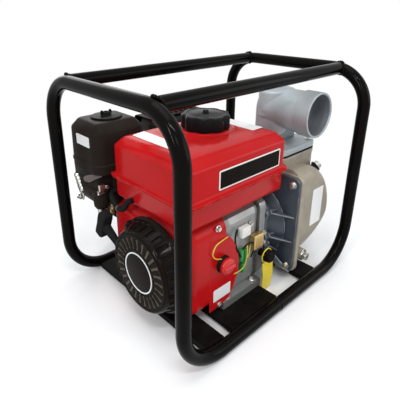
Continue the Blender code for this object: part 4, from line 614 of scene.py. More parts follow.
tankLow, tankHigh = np.array(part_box("tank_upper_shell"))
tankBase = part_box("tank_lower_shell")[0][2]
tank = dict(
    flange=0.009, corner=0.015, neck=0.01,
    foot=[(0.015, 0.0003), (0.009, 0.0007), (0.004, 0.0025), (0.001, 0.0065), (0.0, 0.012)],
    seam=[(0.0, -0.007), (-0.0012, -0.004), (-0.0038, -0.0028), (-0.0078, -0.0026), (-0.0088, -0.0018),
          (-0.0086, -0.0008), (-0.0066, -0.0003), (-0.0066, 0.0003), (-0.0086, 0.0008), (-0.0088, 0.0018),
          (-0.0078, 0.0026), (-0.0038, 0.0028), (-0.0012, 0.004), (0.0, 0.007)],
    crown=[(0.0, -0.0235), (0.0005, -0.0212), (0.0018, -0.0188), (0.015, -0.0062), (0.0175, -0.0046),
           (0.021, -0.0036), (0.045, -0.0014), (0.075, -0.0004), (0.095, -0.0003)],
)
tankTop = tankHigh[2] - tank["neck"]
tankMiddle = (tankLow + tankHigh) / 2 * (1, 1, 0)
tankHalf = (tankHigh - tankLow) / 2 - tank["flange"]
tankParts = ((tankBase, "foot"), (tankLow[2], "seam"), (tankTop, "crown"))
tankLevels = [(inset, start + z) for start, rows in tankParts for inset, z in tank[rows]]
tankShell = put(stacked(tankHalf[0], tankHalf[1], tank["corner"], tankLevels, 10, 0.006), tankMiddle)
makePiece("fuelTank", [tankShell], tankRed, stands="tank_upper_shell tank_lower_shell", crease=50.0)

capLow, capHigh = np.array(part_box("fuel_cap"))
capMiddle = (capLow + capHigh) / 2 * (1, 1, 0)
capRadius = (capHigh[0] - capLow[0]) / 2
collarSpot = capMiddle + (0, 0, tankTop - 0.0006)
collarProfile = softened(  # shares of the cap's radius, heights
    [(1.25, -0.0025), (1.16, 0.0004), (1.08, 0.0016), (1.0, 0.0008), (0.95, -0.002)], 0.002)
makePiece("fillerCollar", [put(lathe(collarProfile * (capRadius, 1), 72), collarSpot)], tankRed)
neckProfile = [(0.026, -0.002), (0.03, -0.002), (0.03, 0.0095), (0.0285, 0.01), (0.026, 0.0095)]
makePiece("fillerNeck", [spun(neckProfile, 0.0008, 64, collarSpot, around=True)], zincSteel)

# fuel cap: the rim bulges in lobes as a cosine of the angle, fading towards the crown
cap = dict(lobes=9, bite=0.0046, sides=330, rows=[  # share of the radius, height, share of the bite
    (0.72, 0.0002, 0.0), (0.95, 0.0002, 0.6), (0.985, 0.001, 1.0), (1.0, 0.003, 1.0), (1.0, 0.0215, 1.0),
    (0.993, 0.024, 1.0), (0.975, 0.0258, 1.0), (0.95, 0.0267, 1.0), (0.92, 0.027, 0.8), (0.86, 0.0272, 0.3),
    (0.8, 0.0274, 0.0), (0.77, 0.0268, 0.0), (0.7, 0.0269, 0.0), (0.55, 0.0276, 0.0), (0.4, 0.0282, 0.0),
    (0.2, 0.0286, 0.0), (0.13, 0.0287, 0.0), (0.12, 0.0322, 0.0), (0.1, 0.0334, 0.0), (0.03, 0.0336, 0.0),
])
lobe = 0.5 - 0.5 * np.cos(cap["lobes"] * fullTurn(cap["sides"]))
capRings = []
for share, height, biteShare in cap["rows"]:
    r = capRadius * share - cap["bite"] * biteShare * (1 - lobe ** 0.6)
    capRings.append(levelRing(roundSection(r, cap["sides"]), height))
capSpot = capMiddle + (0, 0, capLow[2])
makePiece("fuelCap", [put(skin(capRings), capSpot)], glossBlack, body="cap", stands="fuel_cap")

# blank plates: a pale edge and a dark field on the front wall, two plain pale ones on the top
plate = dict(spot=(-0.038, tankLow[1] + tank["flange"] + 0.0002, 0.2975), length=0.166, height=0.035,
             edge=0.0028)
fieldLength, fieldHeight = plate["length"] - 2 * plate["edge"], plate["height"] - 2 * plate["edge"]
blankPlate("tankPlateEdge", plate["length"], plate["height"], 0.003, 0.0006, plate["spot"])
blankPlate("tankPlate", fieldLength, fieldHeight, 0.0015, 0.0009, plate["spot"], finish=plateBlack)
blankPlate("tankTopPlate", 0.03, 0.105, 0.002, 0.0006, (0.03, -0.03, tankTop - 0.0012), "up")
endTilt = math.radians(3.6)
endTurn = np.array(
    [[math.cos(endTilt), 0, math.sin(endTilt)], [0, 1.0, 0], [-math.sin(endTilt), 0, math.cos(endTilt)]])
blankPlate("tankEndPlate", 0.026, 0.12, 0.002, 0.0008, (-0.152, -0.01, tankTop - 0.0019), endTurn)
print("fuel tank done")

# fan shroud: rounded rectangles stacked along the crank, hollow, with a curved ear on the front

shroud = dict(
    spot=(-0.0915, -0.014, 0.125), halfY=0.105, halfZ=0.09, corner=0.024, rearShare=0.72,
    inner=[(0.026, 0.0962), (0.018, 0.0912), (0.0045, 0.078), (0.002, 0.07), (0.002, 0.0)],
    outer=[(0.0, 0.0), (0.0, 0.07), (0.0006, 0.076), (0.004, 0.0815), (0.016, 0.093), (0.0195, 0.0965),
           (0.024, 0.0981), (0.03, 0.0985)],
)
shroudLevels = shroud["inner"] + shroud["outer"]
shroudShell = stacked(shroud["halfY"], shroud["halfZ"], shroud["corner"], shroudLevels, 8)
shroudPoints, shroudFaces = put(shroudShell, shroud["spot"], "left")
outerInset, outerW = np.transpose(shroud["outer"])
faceInset = np.interp(shroud["spot"][0] - shroudPoints[:, 0], outerW, outerInset)
onRear = shroudPoints[:, 1] > shroud["spot"][1]
shroudPoints[:, 1] += np.where(onRear, shroud["rearShare"] * faceInset, 0.0)
makePiece("fanShroud", [(shroudPoints, shroudFaces)], tankRed, stands="fan_shroud", crease=50.0)
ear = dict(middle=(-0.153, 0.104), radius=0.0985, low=-49.0, high=62.0, y=-0.118, backX=-0.13)
earAngle = np.radians(np.linspace(ear["low"], ear["high"], 48))
earEdge = np.column_stack([np.cos(earAngle), np.sin(earAngle)]) * ear["radius"] + ear["middle"]
earOutline = np.vstack([[(ear["backX"], earEdge[0, 1])], earEdge, [(ear["backX"], earEdge[-1, 1])]])
earRim = np.column_stack([earEdge[:, 0], np.full(48, ear["y"] - 0.0009), earEdge[:, 1]])
earPlate = put(extruded(earOutline, 0.0018), (0, ear["y"], 0), "front")
earShells = [earPlate, swept(earRim, roundSection(0.0016, 10))]
makePiece("shroudEar", earShells, tankRed, bevel=0.0004)

# recoil starter: a turned drum, its face pressed in at the slots and its wall at the vents

drum = dict(
    spot=(-0.1903, shaftY, shaftZ), slots=26, slotIn=0.044, slotOut=0.068, slotWide=0.0048, slotDeep=0.002,
    slotLevel=0.037, slotFloor=0.0371, slotFaces=(0.043, 0.069), faceReach=0.0745, faceFrom=0.03,
    vents=30, ventShare=0.24, ventDeep=0.004, ventLow=0.0105, ventHigh=0.0295, ventReach=0.0762, sides=780,
    profile=[(0.07, 0.0), (0.0925, 0.0), (0.0925, 0.004), (0.0885, 0.0055), (0.0868, 0.008),
             (0.0766 + 0.0012, 0.0335), (0.0748, 0.0372), (0.0715, 0.0386), (0.07, 0.038), (0.042, 0.0388),
             (0.04, 0.0378), (0.03, 0.0374), (0.008, 0.0376), (0.001, 0.0376)],
)
drumAngle = fullTurn(drum["sides"])
drumProfile = softened(drum["profile"], 0.0014, 4)
dense = []
for first, last in zip(drumProfile[:-1], drumProfile[1:]):
    count = max(1, int(np.linalg.norm(last - first) / 0.0011))
    dense.append(first + (last - first) * np.linspace(0, 1, count, endpoint=False)[:, None])
drumProfile = np.vstack([*dense, drumProfile[-1:]])


def stepUp(value, edge, width):
    # 0 below the edge, 1 above it, a straight ramp of the given width between
    return np.clip((value - edge) / width + 0.5, 0, 1)


def window(value, low, high, width):
    return stepUp(value, low, width) * stepUp(-value, -high, width)


drumR = drumProfile[:, :1] + 0 * drumAngle
drumW = drumProfile[:, 1:] + 0 * drumAngle
slotPhase = (drumAngle * drum["slots"] / (2 * math.pi)) % 1.0 - 0.5
slotAcross = np.abs(slotPhase) * 2 * math.pi / drum["slots"] * drumR
slotRows = window(drumR, drum["slotIn"], drum["slotOut"], 0.0012)
slotMask = stepUp(drum["slotWide"] / 2 - slotAcross, 0, 0.0008) * slotRows * (drumW > drum["slotLevel"])
ventPhase = (drumAngle * drum["vents"] / (2 * math.pi)) % 1.0 - 0.5
ventRows = window(drumW, drum["ventLow"], drum["ventHigh"], 0.0012) * (drumR > drum["ventReach"])
ventMask = stepUp(drum["ventShare"] - np.abs(ventPhase), 0, 0.03) * ventRows
drumW = drumW - drum["slotDeep"] * slotMask
drumR = drumR - drum["ventDeep"] * ventMask
drumRings = np.stack([drumR * np.cos(drumAngle), drumR * np.sin(drumAngle), drumW], -1)
drumShell = put(skin(drumRings), drum["spot"], "left")
recoilDrum = makePiece("recoilDrum", [drumShell], drumBlack, stands="recoil_housing", crease=32.0)
# the face takes the matte drumFace; the slot floors take the olive, lightened with painted light against
# the shade in the slots
recoilDrum.data.materials.append(drumFace)
recoilDrum.data.materials.append(slotOliveAndPaintedLight)
middles = np.zeros(len(recoilDrum.data.polygons) * 3)
recoilDrum.data.polygons.foreach_get("center", middles)
fromAxis = middles.reshape(-1, 3) - drum["spot"]
faceReach, faceDepth = np.hypot(fromAxis[:, 1], fromAxis[:, 2]), -fromAxis[:, 0]
onFace = (faceReach < drum["faceReach"]) & (faceDepth > drum["faceFrom"])
slotIn, slotOut = drum["slotFaces"]
inSlot = onFace & (faceReach > slotIn) & (faceReach < slotOut) & (faceDepth < drum["slotFloor"])
recoilDrum.data.polygons.foreach_set("material_index", (onFace * 1 + inSlot * 1).astype(np.int32))
ringProfile = [(0.0366, 0.0366), (0.0366, 0.0386), (0.039, 0.0386), (0.039, 0.0366)]
makePiece("recoilRing", [spun(ringProfile, 0.0003, 120, drum["spot"], "left", True)], paperWhite)
discProfile = [(0.0005, 0.037), (0.0366, 0.037), (0.0366, 0.0378), (0.0005, 0.038)]
makePiece("recoilDisc", [spun(discProfile, 0.0003, 96, drum["spot"], "left")], plateBlack)

# three bolted lugs on the drum's back rim
lug = dict(reach=0.087, profile=[(0.001, 0.0), (0.009, 0.0), (0.0084, 0.01), (0.001, 0.0102)])
lugTurns = np.radians((12.0, 140.0, 255.0))
lugOuts = np.column_stack([0 * lugTurns, -np.cos(lugTurns), np.sin(lugTurns)])
lugSpots = np.array(drum["spot"]) + lugOuts * lug["reach"]
makePiece("recoilLugs", [spun(lug["profile"], 0.0012, 32, spot, "left") for spot in lugSpots], drumBlack)
makePiece("recoilBolts", [bolt(spot + (-0.01, 0, 0), (-1, 0, 0), 0.008) for spot in lugSpots], glossBlack)

# starter grip: a tapering neck and a rounded bar across it
grip = dict(
    start=(-0.215, 0.0402, 0.1378), axis=(0.0, 0.8873, 0.4612), length=0.057, barTilt=20.0, barLength=0.056,
    bar=(0.0112, 0.0122, 0.0048),
    neck=[(0.001, 0.0), (0.0068, 0.0), (0.0074, 0.004), (0.0066, 0.008), (0.008, 0.03), (0.0096, 0.056),
          (0.001, 0.057)],
    swells=[(-0.5, 0.55), (-0.495, 0.72), (-0.475, 0.88), (-0.44, 0.97), (-0.3, 1.0), (0.0, 0.96),
            (0.3, 1.0), (0.44, 0.97), (0.475, 0.88), (0.495, 0.72), (0.5, 0.55)],
)
gripAxis = np.array(grip["axis"])
gripNeck = spun(grip["neck"], 0.0015, 40, grip["start"], turnTo(gripAxis))
barTurn = math.radians(grip["barTilt"])
barAxis = np.array([0.0, -math.sin(barTurn), math.cos(barTurn)])
barRings = [levelRing(roundedRing(*(part * scale for part in grip["bar"]), 6), w * grip["barLength"])
            for w, scale in grip["swells"]]
barShell = put(skin(barRings), np.array(grip["start"]) + gripAxis * grip["length"], turnTo(barAxis))
makePiece("starterGrip", [gripNeck, barShell], rubberBlack, body="grip", stands="starter_grip")
print("starter done")

# air cleaner: chamfered cover over a tray and a moulded intake body

coverLow, coverHigh = np.array(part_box("air_cleaner_cover"))
cover = dict(half=(0.0595, 0.0545), corner=0.024)
coverMiddle = (coverLow + coverHigh) / 2 * (1, 1, 0) + (-0.0005, 0, 0)
coverTop = coverHigh[2] + 0.0035
coverLevels = [
    (0.003, 0.268), (0.0012, 0.269), (0.0012, 0.2816), (0.0, 0.2822), (0.0, 0.2862), (0.001, 0.2872),
    (0.0016, 0.288), (0.0026, coverTop - 0.018), (0.0036, coverTop - 0.015), (0.016, coverTop - 0.002),
    (0.0185, coverTop - 0.0004), (0.023, coverTop), (0.03, coverTop + 0.0002),
]
coverShell = put(stacked(*cover["half"], cover["corner"], coverLevels, 7, 0.008), coverMiddle)
makePiece("cleanerCover", [coverShell], cleanerBlack, stands="air_cleaner_cover", crease=30.0)
intake = dict(
    spot=(-0.172, 0.141, 0.0), half=(0.05, 0.046), corner=0.009, ribs=(0.244, 0.228),
    levels=[(0.002, 0.272), (0.003, 0.215), (0.006, 0.202), (0.011, 0.196), (0.018, 0.1945)],
    bowlSpot=(-0.206, 0.109, 0.0),
    bowl=[(0.001, 0.19), (0.012, 0.1905), (0.015, 0.196), (0.016, 0.21), (0.016, 0.226),
          (0.018, 0.227), (0.018, 0.233), (0.001, 0.234)],
    drain=[(0.001, 0.18), (0.0085, 0.18), (0.0095, 0.185), (0.0095, 0.1915), (0.001, 0.1915)],
)
duct = dict(x=-0.1616, y=0.1157, z=0.1625, ribs=(0.172, 0.18))
intakeRows = [intake["levels"]]
intakeRows += [[(0.003, z), (0.0014, z + 0.001), (0.0014, z + 0.003), (0.003, z + 0.004)]
               for z in intake["ribs"]]
intakeBody, *intakeRibs = [
    put(stacked(*intake["half"], intake["corner"], rows, 4, 0.004), intake["spot"]) for rows in intakeRows]
ductShells = [put(block((0.046, 0.046, 0.112), 0.004, 0.007, 4), (duct["x"], duct["y"], duct["z"]))]
ductShells += [put(block((0.0475, 0.0475, 0.003), 0.001, 0.0078, 3), (duct["x"], duct["y"], z))
               for z in duct["ribs"]]
bowlShell = spun(intake["bowl"], 0.0015, 48, intake["bowlSpot"])
makePiece("cleanerBase", [intakeBody, *ductShells, *intakeRibs, bowlShell], cleanerBlack,
          stands="air_cleaner_base", crease=30.0)

# a lever, clips, screws and a nipple at the intake
tabEnds = np.array([(-0.224, 0.124, 0.256), (-0.205, 0.0915, 0.266)])
tabAlong = (tabEnds[1] - tabEnds[0]) / np.linalg.norm(tabEnds[1] - tabEnds[0])
tabOut = np.cross(tabAlong, (0.0, 0, 1.0))
tabOut /= np.linalg.norm(tabOut)
tabTurn = np.array([tabAlong, np.cross(tabOut, tabAlong), tabOut])
tabOutline = softened([(-0.02, -0.004), (-0.021, 0.004), (-0.012, 0.0065), (0.02, 0.006), (0.021, -0.001),
                       (0.004, -0.004), (-0.01, -0.0085), (-0.02, -0.004)], 0.004)[:-1]
tabShell = put(extruded(tabOutline, 0.005), tabEnds.mean(0) + tabOut * 0.0065, tabTurn)
makePiece("intakeTab", [tabShell], leverBrown, bevel=0.0008)
pinProfile = [(0.001, 0.0), (0.0026, 0.0), (0.0026, 0.01), (0.001, 0.01)]
trimShells = [put(block((0.012, 0.013, 0.007), 0.0012), (-0.2125, 0.0965, 0.24), "front")]
trimShells += [put(block((0.013, 0.0035, 0.006), 0.0008), (-0.215, 0.096, z), "front")
               for z in (0.233, 0.2285)]
trimShells.append(bolt((-0.2, 0.0945, 0.237), (0, -1, 0), 0.006))
trimShells.append(bolt((-0.2205, 0.157, 0.203), (-1, 0, 0), 0.011))
trimShells.append(spun(pinProfile, 0.0006, 20, (-0.2225, 0.157, 0.203), "left"))
clipRows = np.linspace(0, 1, 25)
clipPath = np.column_stack([-0.2215 + 0 * clipRows, 0.172 - 0.015 * clipRows, 0.248 - 0.034 * clipRows])
clipPath[:, 0] -= 0.0012 * np.abs(np.sin(clipRows * math.pi * 5))
trimShells.append(swept(clipPath, roundSection(1.0, 16) * (0.005, 0.0016)))
trimShells.append(spun(intake["drain"], 0.001, 32, intake["bowlSpot"]))
makePiece("intakeTrim", trimShells, zincSteel)
nippleProfile = [(0.001, 0.0), (0.0046, 0.0), (0.005, 0.012), (0.0034, 0.013), (0.0034, 0.02),
                 (0.001, 0.02)]
makePiece("drainNipple", [spun(nippleProfile, 0.0008, 28, (-0.19, 0.0965, 0.1765))], yellowZinc)

# cleaner nut: a turned disc with two wings
nut = dict(
    spot=(-0.167, 0.132, coverTop + 0.0003), wingScale=(0.72, 0.85), wingThick=0.0045,
    disc=[(0.004, 0.0), (0.03, 0.0), (0.0304, 0.002), (0.0285, 0.0034), (0.01, 0.0042), (0.008, 0.01),
          (0.004, 0.0108)],
    wing=[(0.004, 0.004), (0.015, 0.0038), (0.0168, 0.009), (0.016, 0.015), (0.012, 0.0168),
          (0.0085, 0.012), (0.0045, 0.01), (0.004, 0.004)],
)
nutShells = [spun(nut["disc"], 0.0008, 64, nut["spot"], around=True)]
wingSpot = np.array(nut["spot"]) + (0, nut["wingThick"] / 2, 0)
for side in (-1, 1):
    wing = softened(np.array(nut["wing"]) * nut["wingScale"] * (side, 1), 0.003)[:-1]
    nutShells.append(put(extruded(wing, nut["wingThick"]), wingSpot, "front"))
makePiece("cleanerNut", nutShells, mouldedBlack, body="cleaner_nut", stands="cleaner_wing_nut",
          bevel=0.0008)
blankPlate("cleanerLabel", 0.046, 0.02, 0.0015, 0.0008, (-0.2247, 0.125, 0.33), "left")
print("air cleaner done")

# engine head: thin fins round the tilted head, a domed rocker cover, and the muffler under a louvred shield

tilt = math.radians(20)
tiltSin, tiltCos = math.sin(tilt), math.cos(tilt)
headTurn = np.array([[-1.0, 0, 0], [0, -tiltSin, tiltCos], [0, tiltCos, tiltSin]])
headMiddle = np.array(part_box("cylinder_head")).mean(0)
finShells = [put(stacked(0.0448, 0.0448, 0.007, eased(w, w + 0.0024, 0.0008), 5), headMiddle, headTurn)
             for w in (-0.012, -0.0065, -0.001, 0.0045)]
makePiece("headFins", finShells, castSilver)
rockerMiddle = np.array(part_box("rocker_cover")).mean(0)
rocker = dict(half=0.036, corner=0.01, boltReach=0.0305, boltLevel=-0.0074, levels=[
    (0.0, -0.012), (0.0, -0.0085), (0.0012, -0.0072), (0.005, -0.0066), (0.0062, -0.005), (0.0072, 0.006),
    (0.0092, 0.0098), (0.013, 0.0116), (0.0155, 0.0118), (0.0165, 0.0108), (0.024, 0.0106),
])
rockerShell = stacked(rocker["half"], rocker["half"], rocker["corner"], rocker["levels"], 7, 0.003)
makePiece("rockerCover", [put(rockerShell, rockerMiddle, headTurn)], glossBlack, stands="rocker_cover")
rockerSpots = levelRing(np.array(fourCorners) * rocker["boltReach"], rocker["boltLevel"]) @ headTurn
makePiece("rockerBolts", [bolt(rockerMiddle + spot, headTurn[2], 0.007) for spot in rockerSpots], zincSteel)
mufflerLow, mufflerHigh = np.array(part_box("muffler_body"))
mufflerHalf, mufflerMiddle = (mufflerHigh - mufflerLow) / 2, (mufflerLow + mufflerHigh) / 2
muffler = dict(
    edge=0.016, corner=0.018, seamHalf=0.005,
    seam=[(0.0, -0.005), (-0.0024, -0.0034), (-0.003, -0.001), (-0.003, 0.001), (-0.0024, 0.0034),
          (0.0, 0.005)],
    tail=[(0.008, 0.0), (0.0105, 0.0), (0.0105, 0.013), (0.009, 0.0134), (0.008, 0.013)],
)
mufflerLevels = eased(-mufflerHalf[2], -muffler["seamHalf"], muffler["edge"], 5)[:6] + muffler["seam"]
mufflerLevels += eased(muffler["seamHalf"], mufflerHalf[2], muffler["edge"], 5)[6:]
mufflerShell = put(stacked(*mufflerHalf[:2], muffler["corner"], mufflerLevels, 7), mufflerMiddle)
tailSpot = (mufflerHigh[0] - 0.0015, mufflerMiddle[1], mufflerLow[2] + 0.026)
tailShell = spun(muffler["tail"], 0.0008, 40, tailSpot, "right", True)
makePiece("mufflerBody", [mufflerShell, tailShell], hotIron, stands="muffler_body")
shieldLow, shieldHigh = np.array(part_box("muffler_shield"))
shield = dict(wall=0.0018, bend=0.01, innerBend=0.0082)


def shieldBend(inset, radius):
    # the shield's bent wall seen from its end, moved in by the inset
    rear, top = shieldHigh[1] - inset, shieldHigh[2] - inset
    return bent([(shieldLow[1], top, 0), (rear, top, 0), (rear, shieldLow[2], 0)], (radius,), 8)


shieldInner = shieldBend(shield["wall"], shield["innerBend"])
shieldOutline = np.vstack([shieldBend(0.0, shield["bend"]), shieldInner[::-1]])[:, :2]
shieldShells = [put(extruded(shieldOutline, shieldHigh[0] - shieldLow[0]), (shieldLow[0], 0, 0), "right")]
shieldX = (shieldLow[0] + shieldHigh[0]) / 2
rearLouvre = block((0.05, 0.0064, 0.003), 0.0022, 0.0031, 4)
topLouvre = block((0.0064, 0.036, 0.0028), 0.002, 0.0031, 4)
for louvreZ in shieldLow[2] + 0.014 + 0.013 * np.arange(6):
    shieldShells += [put(rearLouvre, (shieldX + dx, shieldHigh[1] - 0.0006, louvreZ), "rear")
                     for dx in (-0.031, 0.031)]
shieldShells += [put(topLouvre, (shieldX + dx, shieldLow[1] + 0.03, shieldHigh[2] - 0.0006))
                 for dx in np.linspace(-0.056, 0.056, 8)]
makePiece("mufflerShield", shieldShells, baseBlack, stands="muffler_shield", bevel=0.0005)
shieldBolts = [bolt((shieldX + dx, shieldHigh[1], shieldHigh[2] - 0.014), (0, 1, 0), 0.0075)
               for dx in (-0.068, 0.0, 0.068)]
makePiece("shieldBolts", shieldBolts, zincSteel)
print("head and muffler done")

# pump bracket: a turned cone, a rounded plate, and bolted bosses with two tapering ribs each

flangeLow, flangeHigh = np.array(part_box("pump_bracket"))
flangeHalf = (flangeHigh - flangeLow) / 2
flangeMiddle = (flangeLow + flangeHigh) / 2
bracket = dict(
    spot=(flangeLow[0], shaftY, shaftZ), length=flangeHigh[0] - flangeLow[0], plate=0.006, corner=0.016,
    trim=0.003, bossY=0.069, boss=[(0.001, 0.0), (0.0085, 0.0), (0.0078, 0.015), (0.001, 0.0152)],
    bosses=[(0.1695, 0.011, 0.0), (0.114, 0.013, 0.0), (0.096, 0.069, 0.03)],  # height, the ribs' drops
    ribReach=(0.11, 0.077), ribFoot=0.034, ribTop=0.012, ribThick=0.003,
)
plateW = bracket["length"] - bracket["plate"]
coneProfile = [
    (0.014, 0.004), (0.04, 0.0), (0.06, 0.0), (0.06, 0.007), (0.05, 0.009), (0.052, 0.018),
    (0.088, plateW - 0.003), (0.09, plateW + 0.001), (0.09, plateW + 0.004), (0.014, plateW + 0.004),
]
trimmed = np.array([flangeHalf[1], flangeHalf[2], bracket["corner"]]) - bracket["trim"]
bracketPlate = stacked(*trimmed, eased(plateW, bracket["length"], 0.0012), 10)
footShell = stacked(0.0745, 0.06, 0.014, eased(0.0, 0.009, 0.0015), 8)
bracketShells = [
    spun(coneProfile, 0.003, 96, bracket["spot"], "right"),
    put(bracketPlate, (flangeLow[0], flangeMiddle[1], flangeMiddle[2]), "right"),
    put(footShell, (flangeLow[0], shaftY, 0.132), "right"),
]
ribShells, bossBolts = [], []
for side in (-1, 1):
    inward = np.array([0.0, -side, 0.0])
    for bossZ, *drops in bracket["bosses"]:
        bossSpot = np.array([flangeLow[0], shaftY + side * bracket["bossY"], bossZ])
        bracketShells.append(spun(bracket["boss"], 0.0012, 32, bossSpot, "right"))
        bossBolts.append(bolt(bossSpot + (0.015, 0, 0), (1, 0, 0), 0.0095))
        start = bossSpot + (0.012, 0, 0)
        for reach, drop in zip(bracket["ribReach"], drops):
            end = np.array([flangeLow[0] + plateW + 0.001, shaftY + side * reach, bossZ - drop])
            top, foot = start + inward * bracket["ribTop"], end + inward * bracket["ribFoot"]
            ribFace = np.array([top, start, end, foot])
            thick = np.cross(end - start, inward)
            thick *= bracket["ribThick"] / np.linalg.norm(thick)
            ribShells.append(skin(np.stack([ribFace - thick / 2, ribFace + thick / 2])))
makePiece("pumpBracket", bracketShells, bracketSlate, stands="pump_bracket", bevel=0.0009)
# the ribs take the lighter slate copy, a painted highlight that draws them as light lines
makePiece("bracketRibs", ribShells, ribPaintedHighlight, bevel=0.0006)
makePiece("bracketBolts", bossBolts, zincSteel)

# pump casing: a D that narrows at both ends and whose underside lifts there as a quarter ellipse

casingLow, casingHigh = np.array(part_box("pump_casing"))
casing = dict(middleX=0.1206, z=0.137, radius=0.11, back=0.093, halfW=0.111, lift=0.074, liftFrom=0.03,
              lean=0.024, crown=1.09, crease=40.0)
dAngle = np.radians(np.linspace(-90, 90, 61))
dLevels = np.array(eased(-casing["halfW"], casing["halfW"], casing["lean"], 10))
dW = np.concatenate([dLevels[:11, 1], np.linspace(-0.08, 0.08, 21), dLevels[11:, 1]])
dInset = np.concatenate([dLevels[:11, 0], np.zeros(21), dLevels[11:, 0]])
dRings = []
for inset, w in zip(dInset, dW):
    share = max(0.0, (abs(w) - casing["liftFrom"]) / (casing["halfW"] - casing["liftFrom"]))
    lift = casing["lift"] * (1 - math.sqrt(max(0.0, 1 - share ** 2)))
    r = casing["radius"] - inset
    arc = np.column_stack([casing["middleX"] + r * np.cos(dAngle), r * np.sin(dAngle)])
    flat = np.vstack([[(casing["back"], -r)], arc, [(casing["back"], r)]])
    flat[:, 1] *= np.where(flat[:, 1] > 0, casing["crown"], 1.0)
    flat[:, 1] += lift * np.clip(-flat[:, 1] / casing["radius"], 0, 1)
    dRings.append(levelRing(flat, w))
dShell = put(skin(dRings), (0, shaftY, casing["z"]), "front")
casingBody = makePiece("casingBody", [dShell], casingBeige, crease=casing["crease"])

# the suction port is cut through the body's wall, so the flap behind it can swing
suctionLow, suctionHigh = np.array(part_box("suction_flange"))
suctionMiddle = (suctionLow + suctionHigh) / 2 * (0, 1, 1)
port = [(0.0002, 0.15), (0.0376, 0.15), (0.0376, 0.245), (0.0002, 0.245)]
portMesh = meshOf("suctionPort", [put(lathe(port, 72), suctionMiddle, "right")])
portTool = addObject("suctionPort", portMesh)
portCut = casingBody.modifiers.new("suctionPort", "BOOLEAN")
portCut.operation = "DIFFERENCE"
portCut.solver = "EXACT"
portCut.object = portTool
cutBody = bpy.data.meshes.new_from_object(casingBody.evaluated_get(bpy.context.evaluated_depsgraph_get()))
casingBody.modifiers.clear()
casingBody.data = cutBody
smoothed(cutBody, casing["crease"])
bpy.data.objects.remove(portTool)
bpy.data.meshes.remove(portMesh)

# the casing's flange, its step, foot, drain boss, neck with a rim, and suction boss
flangeSpot = (flangeHigh[0] + 0.0003, flangeMiddle[1], flangeMiddle[2])
neckTop = casingHigh[2]
neckSpot = (neckX, shaftY, 0)
drainBoss = [(0.001, 0.0), (0.015, 0.0), (0.0135, 0.05), (0.0128, 0.0633), (0.001, 0.0635)]
suctionBoss = [(0.0385, 0.18), (0.06, 0.19), (0.054, 0.215), (0.052, 0.2355), (0.0385, 0.2358),
               (0.0382, 0.19)]
casingFlange = stacked(flangeHalf[1], flangeHalf[2], bracket["corner"], eased(0.0, 0.01, 0.0016), 10)
casingShells = [
    put(casingFlange, flangeSpot, "right"),
    put(stacked(*trimmed, [(0.0, 0.008), (0.001, 0.0145), (0.004, 0.017)], 10), flangeSpot, "right"),
    put(block((0.045, 0.13, 0.022), 0.003), (0.1291, shaftY, casingLow[2])),
    spun(drainBoss, 0.001, 40, (0.1306, -0.085, 0.052), "front"),
    put(stacked(0.0625, 0.0715, 0.016, [(0.0, neckTop - 0.066), (0.0, neckTop - 0.009)], 6), neckSpot),
    put(stacked(0.064, 0.073, 0.018, eased(neckTop - 0.01, neckTop, 0.0014), 8), neckSpot),
    spun(suctionBoss, 0.002, 72, suctionMiddle, "right", True),
]
makePiece("pumpCasing", casingShells, casingBeige, stands="pump_casing", crease=casing["crease"])
blankPlate("casingPlate", 0.04, 0.086, 0.002, 0.0006, (0.166, -0.1485, 0.16))
print("pump casing done")

# discharge elbow: a flange, a hood, an upright drum and a level pipe that meets the drum in a mitre line

elbow = dict(
    base=0.2811, axisZ=0.364, back=-0.02, front=-0.09, hood=0.0375, bossZ=0.3945,
    lowest=0.011, lean=0.04, leanFrom=0.62, tuck=0.55, tuckFrom=0.45,
    footSpread=0.012, footTop=0.034, footHeight=0.024,
    riser=[(0.042, 0.07), (0.0424, 0.118), (0.0405, 0.1215), (0.01, 0.1222)],
    pipe=[(0.004, 0.0), (0.0424, 0.0), (0.0424, 0.075), (0.0436, 0.0756), (0.0436, 0.0765), (0.041, 0.0765),
          (0.041, 0.05), (0.004, 0.049)],
    boss=[(0.018, 0.0), (0.015, 0.006), (0.014, 0.01), (0.014, 0.013), (0.004, 0.0132)],
    band=[(0.041, 0.0745), (0.0452, 0.0745), (0.0452, 0.108), (0.0446, 0.1085), (0.0414, 0.1085),
          (0.041, 0.1075)],
    bore=[(0.001, 0.0528), (0.0408, 0.0528), (0.04115, 0.106), (0.0405, 0.106), (0.0402, 0.078),
          (0.0391, 0.069), (0.0361, 0.062), (0.03, 0.057), (0.02, 0.0546), (0.001, 0.0538)],
)
elbowSpot = (neckX, shaftY, elbow["base"])
mouthSpot = (neckX, shaftY, elbow["axisZ"])
elbowShells = [put(stacked(0.064, 0.073, 0.018, eased(0.0, 0.013, 0.0018), 8), elbowSpot)]
# the hood has upright sides and a round top; its foot spreads and its front leans out towards the mouth
hoodAngle = np.radians(np.linspace(0, 180, 33))
hoodRise = elbow["axisZ"] - elbow["base"]
hoodRings = []
for share in np.linspace(0, 1, 15):
    y = elbow["back"] + (elbow["front"] - elbow["back"]) * share
    leanShare = max(0.0, share - elbow["leanFrom"]) / (1 - elbow["leanFrom"])
    tuckShare = max(0.0, share - elbow["tuckFrom"]) / (1 - elbow["tuckFrom"])
    halfHood = elbow["hood"] * (1 - elbow["tuck"] * tuckShare ** 2)
    top = np.column_stack([halfHood * np.cos(hoodAngle), hoodRise + elbow["hood"] * np.sin(hoodAngle)])
    fall = np.linspace(hoodRise, elbow["lowest"] + elbow["lean"] * leanShare, 12)[1:]
    footShare = np.clip((elbow["footTop"] - fall) / elbow["footHeight"], 0, 1)
    spread = halfHood + elbow["footSpread"] * footShare ** 2
    flat = np.vstack([top, np.column_stack([-spread, fall]), np.column_stack([spread, fall])[::-1]])
    hoodRings.append(np.column_stack([flat[:, 0], np.full(len(flat), y - shaftY), flat[:, 1]]))
elbowShells.append(put(skin(hoodRings), elbowSpot))
